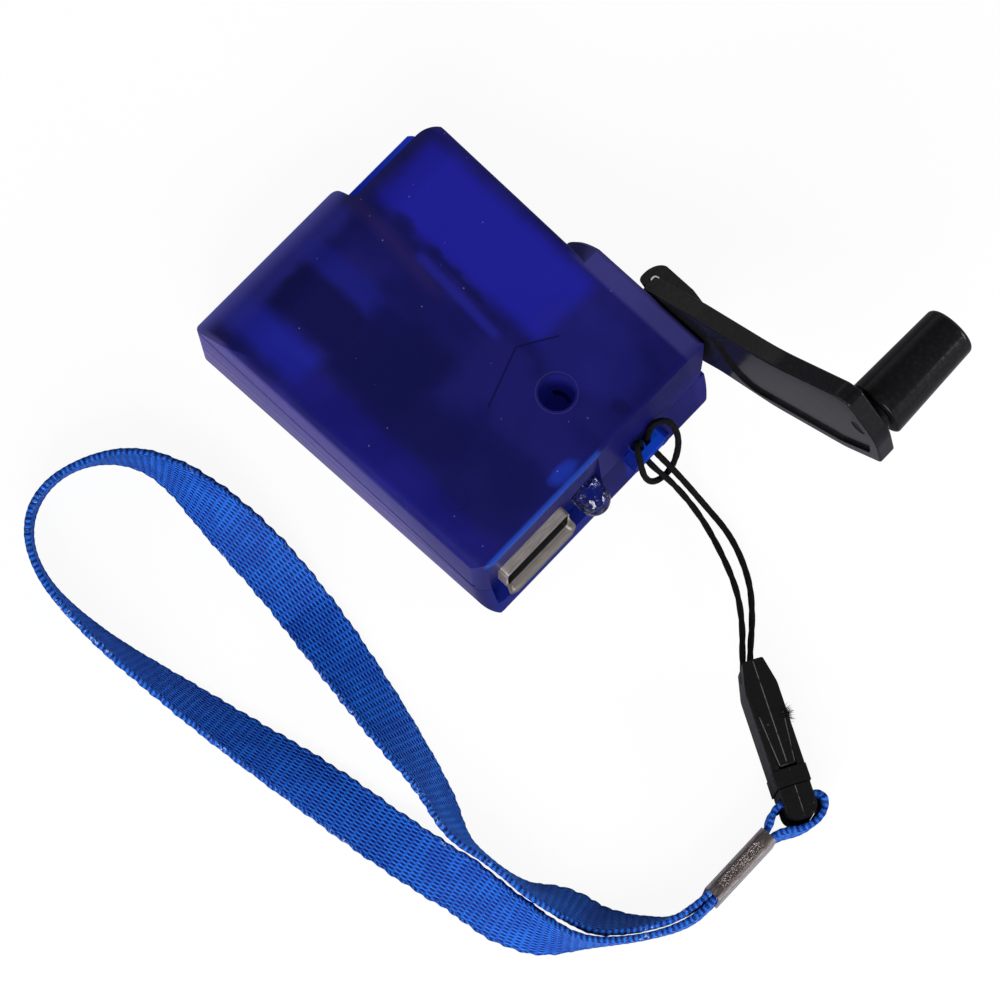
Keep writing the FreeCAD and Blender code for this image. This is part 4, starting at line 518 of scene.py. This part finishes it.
for shell_name, shell_node in (("upper_blue_plastic", "upper_shell"),
                               ("lower_blue_plastic", "lower_shell")):
    shell = Finish(shell_name, IOR=1.3, Specular_IOR_Level=0.08, Emission_Strength=1.0)
    spot, (x, y, z) = shell.place()
    cloud = shell.noise(spot, 0.11, 2.0)
    drift = shell.noise(spot, 0.35, 2.0) - 0.5
    colour = shell.mix(cloud.fade(0.35, 0.65), (0.0070, 0.0070, 0.078), (0.0105, 0.0100, 0.108))
    # painted light: paler blue where open space behind the walls lets light through the plastic
    for mask, share, shade in (
            (block((-23.0, 10.0), (8.6, 20.8), 1.5), 0.85, (0.0125, 0.0125, 0.265)),
            (block((-27.0, -11.0), (-20.0, -14.6), 1.4), 0.80, (0.0120, 0.0150, 0.240)),
            (block((-26.5, -5.0), (-5.4, -1.4), 1.2), 0.60, (0.0100, 0.0120, 0.175)),
            (block((-28.5, -23.5), (-20.0, 5.0), 1.6), 0.60, (0.0180, 0.0190, 0.230)),
            (oval((4.0, -19.0), (22.0, 3.0)), 0.45, (0.0080, 0.0075, 0.160)),
            (oval((16.0, 13.0), (9.0, 6.0)), 0.40, (0.0150, 0.0150, 0.185)),
            # ribs that slant across: painted violet shade beside the gear plates, painted light beyond
            # them
            (straight_line(-26.0, 6.3, -6.0, 4.2, 0.9, 2.6), 0.60, (0.0200, 0.0130, 0.085)),
            (straight_line(-12.0, 6.4, 5.0, 5.2, 0.7, 1.0), 0.60, (0.0150, 0.0160, 0.230))):
        colour = shell.mix(mask * share, colour, shade)
    # painted shade: darker where the generator, the gear wheels and the plates lie behind the wall
    works_shade = block((-23.6, -9.5), (-13.4, -5.4), 1.0) * 0.85
    for mask, share in (
            (block((-11.0, 4.0), (-15.0, -1.0), 2.2), 0.85),
            (block((-3.0, 14.0), (-16.0, -7.0), 3.0), 0.70),
            (oval((-16.9, 8.3), (2.0, 1.2), 1.2), 0.70),
            (oval((-10.2, 8.3), (1.7, 0.7), 1.2), 0.65),
            (oval((-6.2, 8.1), (0.9, 0.6), 1.2), 0.65),
            (oval((-2.2, 7.7), (1.6, 0.8), 1.2), 0.70),
            (straight_line(-11.0, 8.3, 0.0, 7.4, 0.35, 0.6), 0.70),
            (oval((25.0, 9.8), (1.6, 0.9), 0.8), 0.55),
            (oval((19.0, -12.0), (8.0, 6.5)), 0.40)):
        works_shade = works_shade.at_least(mask * share)
    colour = shell.mix(works_shade, colour, (0.0050, 0.0055, 0.050))
    # painted light: the lamp's foot glows near the end, painted in the colour and in the emission
    glow_spot = oval((25.8, -3.0), (1.2, 2.3), 0.8)
    colour = shell.mix(glow_spot * 0.55, colour, (0.010, 0.035, 0.36))
    # painted light: the rounded end is painted paler, and the side walls get a painted pale sheen in bands
    rear = x.fade(-25.5, -30.3)
    side = y.fade(-22.0, -22.9) * z.fade(23.7, 22.6) * x.fade(28.5, 24.0)
    bands = (z * 1.9 + (x * 0.11).wave() * 0.8 + drift * 2.0).wave() * 0.5 + 0.5
    # painted light on the boss's top band, and a painted glow in the knob's trough, the socket bay and the
    # lug
    boss = y.fade(21.2, 22.0) * x.fade(3.0, 7.0) * z.fade(14.0, 20.0)
    below_parting = z.fade(11.9, 11.7)
    notch = below_parting * x.fade(-20.0, -25.0) * y.fade(3.0, 6.0)
    bay = below_parting * x.fade(26.8, 27.6) * y.fade(3.0, 1.0) * y.fade(-22.0, -20.5)
    lug = x.fade(28.3, 28.7) * y.fade(6.6, 7.0) * y.fade(15.0, 14.6) * z.fade(13.6, 13.2)
    # moulded chevron and ejector mark, painted dark as shade in their grooves, the screw's recess, and the
    # bay's rim with its painted highlight
    on_top = z.fade(22.5, 23.3)
    mark = straight_line(*CHEVRON[0], *CHEVRON[1], MARK_WIDTH)
    mark = mark.at_least(straight_line(*CHEVRON[1], *CHEVRON[2], MARK_WIDTH))
    mark = (mark * 0.9).at_least(circle_line(EJECTOR_AT, 2.0, 0.22) * 0.18) * on_top
    dx = x - SCREW_AT[0]
    dy = y - SCREW_AT[1]
    recess = ((dx * dx + dy * dy) ** 0.5).fade(3.0, 2.8) * z.fade(23.9, 23.3)
    rim = x.fade(26.7, 27.1) * y.fade(-21.6, -20.4) * y.fade(3.4, 2.2)
    rim = rim * z.fade(24.5, 23.5) * z.fade(21.8, 22.8)
    # painted in turn: sheen on the end and side walls, a highlight along the crank side's top edge, light
    # on the boss, shade towards the socket end, light in the notch, bay and lug, shade in the marks, a
    # highlight on the bay's rim and a highlight ring round the screw's recess
    for mask, share, shade in (
            (rear, 0.80, (0.0880, 0.0830, 0.440)),
            (side, 0.80, (0.0780, 0.0660, 0.235)),
            (side * bands * z.fade(18.0, 9.0), 0.60, (0.1550, 0.1380, 0.290)),
            (y.fade(21.6, 22.8) * z.fade(24.6, 22.0), 0.65, (0.0300, 0.0260, 0.170)),
            (boss, 0.80, (0.0400, 0.0380, 0.165)),
            (x.fade(25.8, 27.6), 0.75, (0.0050, 0.0045, 0.075)),
            (notch, 0.90, (0.0040, 0.0100, 0.250)),
            (bay, 0.70, (0.0040, 0.0090, 0.110)),
            (lug, 0.80, (0.0030, 0.0090, 0.130)),
            (mark, 1.00, (0.0040, 0.0040, 0.035)),
            (rim, 0.70, (0.0100, 0.0500, 0.320)),
            (circle_line(SCREW_AT, 3.12, 0.10) * on_top, 0.22, (0.0800, 0.0800, 0.250))):
        colour = shell.mix(mask * share, colour, shade)
    # dust
    speck = shell.node("ShaderNodeTexVoronoi", {}, {"Vector": spot, "Scale": 0.42}, "Distance")
    speck = speck.fade(0.055, 0.020) * shell.noise(spot, 0.2, 1.0).fade(0.42, 0.58)
    shell.feed("Base Color", shell.mix(speck * 0.45, colour, (0.34, 0.34, 0.46)))
    # painted light, in the emission: light that comes through the plastic from behind
    lit = (0.0, 0.0, 0.0)
    for mask, share, shade in (
            (recess, 1.00, (0.0018, 0.0022, 0.040)),
            (recess * oval((18.0, 3.6), (1.6, 1.4), 0.7), 1.00, (0.0020, 0.0050, 0.110)),
            (notch, 1.00, (0.0010, 0.0060, 0.120)),
            (notch * y.fade(8.0, 21.0), 0.60, (0.0060, 0.0250, 0.260)),
            (bay, 0.50, (0.0004, 0.0030, 0.035)),
            (lug, 1.00, (0.0003, 0.0025, 0.035)),
            (lug * abs(y - LUG_Y).fade(2.6, 2.2), 0.90, (0.0010, 0.0300, 0.260)),
            (glow_spot, 0.30, (0.0010, 0.0080, 0.080))):
        lit = shell.mix(mask * share, lit, shade)
    shell.feed("Emission Color", lit)
    grit = shell.noise(spot, 3.4, 3.0, 0.6)
    sanded = y.fade(2.0, 14.0) * x.fade(-4.0, 14.0) + oval((20.0, -6.0), (8.0, 8.0)) * 0.5
    shell.feed("Roughness", 0.28 + sanded * 0.14 + grit * 0.06 + rear * 0.12)
    shell.relief(grit * (0.30 + sanded * 0.9) - mark * 1.5, 0.00003)
    dress(shell, shell_node)


# ------------------------------------------------------------------ crank
# Hub, arm and knob moulded in black gloss plastic. The fold pin, like the other
# shafts and pins, is polished steel.
def plain_finish(name, nodes, grain, colours, roughness, **constants):
    """A finish whose colour and roughness both follow one noise, put on those nodes."""
    finish = Finish(name, **constants)
    spot = finish.place()[0]
    wander = finish.noise(spot, *grain)
    finish.feed("Base Color", finish.mix(wander, *colours))
    finish.feed("Roughness", roughness[0] + wander * roughness[1])
    dress(finish, *nodes)
    return finish, wander


black = Finish("gloss_black_plastic", IOR=1.36, Specular_IOR_Level=0.22)
spot, (x, y, z) = black.place()
dust = black.noise(spot, 1.6, 4.0, 0.6)
gloss = black.mix(dust.fade(0.45, 0.8), (0.0060, 0.0060, 0.0068), (0.0115, 0.0115, 0.0135))
black.feed("Base Color", gloss)
black.feed("Roughness", 0.10 + dust * 0.12)
black.relief(black.noise(spot, 0.9, 2.0), 0.00002)
dress(black, "crank_arm", "crank_hub", "knob_grip")

plain_finish("polished_steel",
             ("hinge_pin", "crank_shaft", "idler_axles", "plate_spacers", "generator_shaft", "led_leads"),
             (5.0, 3.0), ((0.62, 0.61, 0.60), (0.80, 0.79, 0.78)), (0.12, 0.14), Metallic=1.0)


# ------------------------------------------------------------------ clip and crimp
# Two-part release clip in black plastic with a tapered latch tongue on top, and a
# nickel plated sheet sleeve squeezed round the webbing.
CLIP_TOP = Vector((0.0627, -0.0020, 0.0))
CLIP_RUN = Vector((0.873, -0.488, 0.0))
CLIP_SIDE = Vector((0.488, 0.873, 0.0))
TONGUE_FLOOR = 0.01002
TONGUE_RIDGE = 0.01079
TONGUE_SLOPE = 0.2
# distance along the clip, half width, drop of the top
TONGUE_STATIONS = (
    (0.0079, 0.00196, 0.0), (0.0100, 0.00182, 0.0), (0.0122, 0.00160, 0.0), (0.0145, 0.00136, 0.0),
    (0.0160, 0.00122, 0.0), (0.0162, 0.00110, 0.00012),
)
# place across as a share of the half width, depth below the top (None: on the floor)
TONGUE_PROFILE = (
    (-1.0, None), (-1.0, 0.00014), (-0.93, 0.0), (-0.04, 0.0), (0.04, 0.0), (0.93, 0.0), (1.0, 0.00014),
    (1.0, None),
)
CRIMP_AT = (81.6, -25.0)

satin = Finish("satin_black_plastic", IOR=1.36, Specular_IOR_Level=0.12)
spot, (x, y, z) = satin.place()
tooth = satin.noise(spot, 3.0, 3.0, 0.6)
above = z.fade(9.6, 10.2)
# the pale lines along the clip's ridge and the latch's seams are painted highlights, broken up like wear;
# the pale patches are wear
ridge = straight_line(63.0, -2.2, 76.4, -9.7, 0.06, 0.10)
ridge = ridge.at_least(straight_line(79.6, -11.4, 83.6, -13.7, 0.05, 0.10))
seam = straight_line(69.2, -7.6, 76.1, -10.8, 0.06, 0.10)
seam = seam.at_least(straight_line(70.9, -4.4, 77.2, -8.8, 0.06, 0.10))
wear_and_highlight = (ridge * above).at_least(seam * above * 0.8) * satin.noise(spot, 0.9, 2.0).fade(0.30, 0.50)
wear_and_highlight = wear_and_highlight.at_least(satin.noise(spot, 1.4, 3.0, 0.7).fade(0.66, 0.72) * 0.35)
plastic = satin.mix(tooth, (0.0040, 0.0040, 0.0044), (0.0080, 0.0080, 0.0088))
satin.feed("Base Color", satin.mix(wear_and_highlight * 0.6, plastic, (0.17, 0.17, 0.17)))
satin.feed("Roughness", 0.34 + tooth * 0.16)
satin.relief(tooth * 0.4 - wear_and_highlight, 0.00003)
dress(satin, "clip_socket", "clip_plug")

tongue_vertices = []
for run, half, drop in TONGUE_STATIONS:
    for out, below in TONGUE_PROFILE:
        top = TONGUE_RIDGE - TONGUE_SLOPE * half * abs(out) - drop
        height = TONGUE_FLOOR if below is None else top - below
        tongue_vertices.append(CLIP_TOP + CLIP_RUN * run + CLIP_SIDE * half * out + Vector((0, 0, height)))
# the profile runs clockwise, so these faces turn the other way from tube_faces
around = len(TONGUE_PROFILE)
tongue_faces = []
for i in range(len(TONGUE_STATIONS) - 1):
    for j in range(around):
        k = (j + 1) % around
        tongue_faces.append((i * around + j, (i + 1) * around + j, (i + 1) * around + k, i * around + k))
tongue_faces.append(tuple(range(around)))
tongue_faces.append(tuple(reversed(range(len(tongue_vertices) - around, len(tongue_vertices)))))
latch = new_piece("clip_latch_tongue", tongue_vertices, tongue_faces, satin.material, "case", smooth=False)

nickel = Finish("worn_nickel", Metallic=1.0)
spot, (x, y, z) = nickel.place()
stroke = nickel.node("ShaderNodeVectorMath", {"operation": "MULTIPLY"}, [spot, (4.0, 0.5, 4.0)])
scuff = nickel.noise(stroke, 1.4, 4.0, 0.65)
off_centre = abs(x - CRIMP_AT[0])
middle = off_centre.fade(0.9, 0.5) * abs(y - CRIMP_AT[1]).fade(4.8, 3.6)
# painted shade in the stamped dimples in the middle of the sleeve
dimple = nickel.noise(spot, 3.4, 2.0, 0.4).fade(0.50, 0.60) * middle
sleeve_colour = nickel.mix(scuff.fade(0.35, 0.65), (0.20, 0.168, 0.162), (0.37, 0.325, 0.315))
# paler along the sleeve's long edges
bright_edge = off_centre.fade(1.05, 1.25) * scuff.fade(0.3, 0.5)
sleeve_colour = nickel.mix(bright_edge * 0.7, sleeve_colour, (0.72, 0.66, 0.65))
nickel.feed("Base Color", nickel.mix(dimple * 0.45, sleeve_colour, (0.12, 0.10, 0.10)))
nickel.feed("Roughness", 0.27 + scuff * 0.20)
nickel.relief(scuff * 0.3 - dimple * 0.7, 0.00005)
dress(nickel, "crimp_sleeve")


# ------------------------------------------------------------------ case screws
# Pan head screws in blackened steel, deep in their recesses; the knob's stem has the
# same finish.
blackened = Finish("blackened_screw", Metallic=1.0, Emission_Strength=1.0)
spot, (x, y, z) = blackened.place()
oxide = blackened.noise(spot, 3.0, 3.0)
# painted light: inside the case the screws are painted blue as if lit through the blue plastic, and glow
# faintly in the emission deep in their recesses
in_case = y.fade(24.0, 20.0)
blue_lit = blackened.mix(oxide, (0.010, 0.010, 0.045), (0.022, 0.022, 0.080))
bare = blackened.mix(oxide, (0.012, 0.012, 0.013), (0.030, 0.030, 0.032))
blackened.feed("Base Color", blackened.mix(in_case, bare, blue_lit))
blackened.feed("Roughness", 0.42 + oxide * 0.2)
in_recess = z.fade(12.0, 15.0) * in_case
lit = in_recess * (0.6 + oxide * 0.4)
blackened.feed("Emission Color", blackened.mix(lit, (0.0, 0.0, 0.0), (0.0016, 0.0020, 0.040)))
dress(blackened, "case_screws", "knob_stem")


# ------------------------------------------------------------------ socket and lamp
# The socket's plated steel shell with its flared mouth, round a black tongue with gilt
# contacts, and the clear lamp beside it, moulded in epoxy. Sizes are in millimetres.
SOCKET_MIDDLE = (-11.8, 12.0)
LIP_START = 28.9
LIP_HALF = 6.47
LIP_BASE = 8.87
LIP_CORNER = 0.7
LIP_SIDE_RUN = 2.6          # how far the lip climbs beside the mouth
LIP_SIDE_REACH = (0.25, 1.2)
LIP_REACH = 1.75
LIP_THICK = 0.30
LIP_FLARE = 0.40            # outward bend per millimetre of reach
LIP_STEPS = 5


def lip_outline():
    """Down one side, round the corner and half along the base, then the same mirrored.

    Each station is y from the socket's middle, z above the table, the way outwards and the
    reach.
    """
    low, high = LIP_SIDE_REACH
    stations = []
    for k in range(7):
        climb = LIP_SIDE_RUN * (1 - k / 6)
        stations.append((-LIP_HALF, LIP_BASE + LIP_CORNER + climb, -1.0, 0.0, low + (high - low) * k / 6))
    for k in range(1, 7):
        turn = math.pi * (1 + k / 12)
        out_y = math.cos(turn)
        out_z = math.sin(turn)
        stations.append((-LIP_HALF + LIP_CORNER * (1 + out_y), LIP_BASE + LIP_CORNER * (1 + out_z),
                         out_y, out_z, high + (LIP_REACH - high) * k / 6))
    for k in range(1, 9):
        stations.append(((LIP_HALF - LIP_CORNER) * (k / 8 - 1), LIP_BASE, 0.0, -1.0, LIP_REACH))
    return stations + [(-a, b, -out_y, out_z, reach) for a, b, out_y, out_z, reach in stations[-2::-1]]


plate = Finish("brushed_socket_steel", Metallic=0.55, IOR=1.4)
spot, (x, y, z) = plate.place()
stroke = plate.node("ShaderNodeVectorMath", {"operation": "MULTIPLY"}, [spot, (2.5, 0.25, 2.5)])
brushed = plate.noise(stroke, 2.0, 3.0, 0.6)
steel = plate.mix(brushed.fade(0.3, 0.7), (0.30, 0.265, 0.245), (0.44, 0.395, 0.37))
steel = plate.mix(x.fade(29.15, 29.4) * 0.75, steel, (0.085, 0.078, 0.072))
# painted shade: nearly black inside the shell's cavity
inside = abs(z - SOCKET_MIDDLE[1]).fade(3.15, 3.0) * abs(y - SOCKET_MIDDLE[0]).fade(6.5, 6.35)
inside = inside * x.fade(29.3, 29.0)
plate.feed("Base Color", plate.mix(inside * 0.97, steel, (0.003, 0.003, 0.004)))
plate.feed("Roughness", 0.34 + brushed * 0.16)
plate.relief(brushed, 0.00002)
dress(plate, "usb_shell")

lip_vertices = []
for station_y, station_z, out_y, out_z, reach in lip_outline():
    for side, steps in ((-0.5, range(LIP_STEPS + 1)), (0.5, range(LIP_STEPS, -1, -1))):
        for k in steps:
            share = k / LIP_STEPS
            thick = LIP_THICK * (0.75 if k == LIP_STEPS else 1.0)
            out = LIP_FLARE * reach * share * share + side * thick
            lip_vertices.append(((LIP_START + reach * share) / 1000,
                                 (SOCKET_MIDDLE[0] + station_y + out_y * out) / 1000,
                                 (station_z + out_z * out) / 1000))
lip_faces = tube_faces(len(lip_outline()), 2 * (LIP_STEPS + 1))
mouth = new_piece("socket_mouth_lip", lip_vertices, lip_faces, plate.material, "case")

tongue, mottle = plain_finish(
    "socket_tongue",
    ("usb_insulator", "capacitor", "diodes", "voltage_regulator", "inductor", "generator_magnet"),
    (2.4, 3.0), ((0.008, 0.008, 0.009), (0.019, 0.019, 0.021)), (0.38, 0.25))
tongue.relief(mottle, 0.00002)

plain_finish("gilt_contacts", ("usb_contacts",),
             (3.5, 3.0), ((0.62, 0.40, 0.13), (0.86, 0.62, 0.27)), (0.18, 0.20), Metallic=1.0)

lens = Finish("clear_lamp_lens", IOR=1.5, Transmission_Weight=1.0)
spot, (x, y, z) = lens.place()
haze = lens.noise(spot, 0.9, 2.0)
lens.feed("Base Color", lens.mix(haze, (0.72, 0.80, 0.98), (0.90, 0.94, 1.0)))
lens.feed("Roughness", 0.01 + haze * 0.05)
lens.relief(lens.noise(spot, 0.9, 1.0), 0.00045)
dress(lens, "led_lamp")


# ------------------------------------------------------------------ works inside
# Gears and plates moulded in white acetal, the plated steel generator wound with
# enamelled copper, and the lacquered circuit board. All are shut in the case.
acetal = Finish("white_acetal")
spot, (x, y, z) = acetal.place()
milk = acetal.noise(spot, 0.4)
acetal.feed("Base Color", acetal.mix(milk, (0.60, 0.60, 0.58), (0.74, 0.74, 0.72)))
acetal.feed("Roughness", 0.36 + acetal.noise(spot, 1.7) * 0.2)
dress(acetal, "crank_gear", "idler_gear_1", "idler_gear_2", "generator_pinion", "gear_plate_inner",
      "gear_plate_outer")

can = Finish("plated_can", Metallic=1.0)
spot, (x, y, z) = can.place()
stroke = can.node("ShaderNodeVectorMath", {"operation": "MULTIPLY"}, [spot, (0.3, 3.0, 3.0)])
drawn = can.noise(stroke, 1.5, 3.0)
can.feed("Base Color", can.mix(drawn, (0.28, 0.28, 0.30), (0.44, 0.44, 0.46)))
can.feed("Roughness", 0.30 + drawn * 0.22)
dress(can, "generator_can", "generator_end_cap")

copper = Finish("enamelled_copper", Metallic=1.0)
spot, (x, y, z) = copper.place()
# painted shade between the turns of wire, and a painted highlight on their crests
turns = (x * 22.0 + copper.noise(spot, 0.8) * 3.0).wave() * 0.5 + 0.5
copper.feed("Base Color", copper.mix(turns, (0.38, 0.12, 0.045), (0.72, 0.32, 0.15)))
copper.feed("Roughness", 0.28 + turns * 0.15)
copper.relief(turns, 0.00005)
dress(copper, "generator_coils")

board = Finish("circuit_board_green")
spot, (x, y, z) = board.place()
tracks = (x * 3.1 + board.noise(spot, 0.25, 1.0) * 9.0).wave().fade(0.35, 0.5)
tracks = tracks * (y * 2.3).wave().fade(-0.4, -0.2)
lacquer = board.mix(board.noise(spot, 1.2, 3.0), (0.010, 0.075, 0.026), (0.018, 0.120, 0.042))
board.feed("Base Color", board.mix(tracks * 0.7, lacquer, (0.045, 0.205, 0.085)))
board.feed("Roughness", 0.32 + board.noise(spot, 2.0) * 0.15)
dress(board, "circuit_board")


# ------------------------------------------------------------------ floor and light
# A plain white table that keeps a soft shadow, under a broad soft light. It looks
# greyer in a mirror, so that glossy faces turned to it stay dark.
FLOOR_HALF = 3.0
FLOOR_GLOW = 0.93           # share of plain white that the camera sees
SKY_HEIGHTS = (0.15, 0.70)  # sine of the elevation where the sky starts and stops to darken
SKY_LEVELS = (0.85, 0.05)
corners = [(-FLOOR_HALF, -FLOOR_HALF, 0), (FLOOR_HALF, -FLOOR_HALF, 0),
           (FLOOR_HALF, FLOOR_HALF, 0), (-FLOOR_HALF, FLOOR_HALF, 0)]
floor_mesh = bpy.data.meshes.new("floor")
floor_mesh.from_pydata(corners, [], [(0, 1, 2, 3)])
floor = bpy.data.objects.new("floor", floor_mesh)
bpy.context.collection.objects.link(floor)
paper = Finish("white_paper", Roughness=0.9)
seen = paper.node("ShaderNodeLightPath", output="Is Camera Ray")
mirrored = paper.node("ShaderNodeLightPath", output="Is Glossy Ray")
paper.feed("Base Color", paper.mix(mirrored, (0.88, 0.88, 0.88), (0.30, 0.30, 0.34)))
glow = paper.node("ShaderNodeEmission", {}, {"Color": (1, 1, 1, 1), "Strength": 1.0}, "Emission")
matt = Value(paper, paper.shader.outputs[0])
both = paper.node("ShaderNodeMixShader", {}, [seen * FLOOR_GLOW, matt, glow])
paper.tree.links.new(both.socket, paper.tree.nodes["Material Output"].inputs["Surface"])
floor_mesh.materials.append(paper.material)

world = bpy.data.worlds.new("studio")
world.use_nodes = True
sky = world.node_tree
background = sky.nodes["Background"]
heading = sky.nodes.new("ShaderNodeTexCoord")
parts = sky.nodes.new("ShaderNodeSeparateXYZ")
height = sky.nodes.new("ShaderNodeMapRange")
height.interpolation_type = "SMOOTHSTEP"
height.inputs["From Min"].default_value = SKY_HEIGHTS[0]
height.inputs["From Max"].default_value = SKY_HEIGHTS[1]
height.inputs["To Min"].default_value = SKY_LEVELS[0]
height.inputs["To Max"].default_value = SKY_LEVELS[1]
rays = sky.nodes.new("ShaderNodeLightPath")
level = sky.nodes.new("ShaderNodeMath")
level.operation = "MAXIMUM"
sky.links.new(heading.outputs["Generated"], parts.inputs[0])
sky.links.new(parts.outputs[2], height.inputs["Value"])
sky.links.new(height.outputs[0], level.inputs[0])
sky.links.new(rays.outputs["Is Camera Ray"], level.inputs[1])
sky.links.new(level.outputs[0], background.inputs["Strength"])
background.inputs["Color"].default_value = (1.0, 1.0, 1.0, 1)
bpy.context.scene.world = world


def soft_lamp(name, place, aim, size, power):
    """A broad lamp of that size in metres and power in watts, turned to a point."""
    light = bpy.data.lights.new(name, "AREA")
    light.shape = "RECTANGLE"
    light.size = size[0]
    light.size_y = size[1]
    light.energy = power
    lamp = bpy.data.objects.new(name, light)
    lamp.location = place
    lamp.rotation_euler = (Vector(aim) - Vector(place)).to_track_quat("-Z", "Y").to_euler()
    bpy.context.collection.objects.link(lamp)


soft_lamp("key", (0.42, -0.46, 0.52), (0.02, -0.01, 0.0), (0.45, 0.45), 7.2)
soft_lamp("fill", (-0.30, -0.62, 0.36), (0.02, -0.01, 0.0), (0.55, 0.35), 2.1)
soft_lamp("side", (0.60, 0.50, 0.30), (0.02, 0.0, 0.01), (0.40, 0.30), 3.6)

bpy.context.scene.view_settings.view_transform = "Standard"
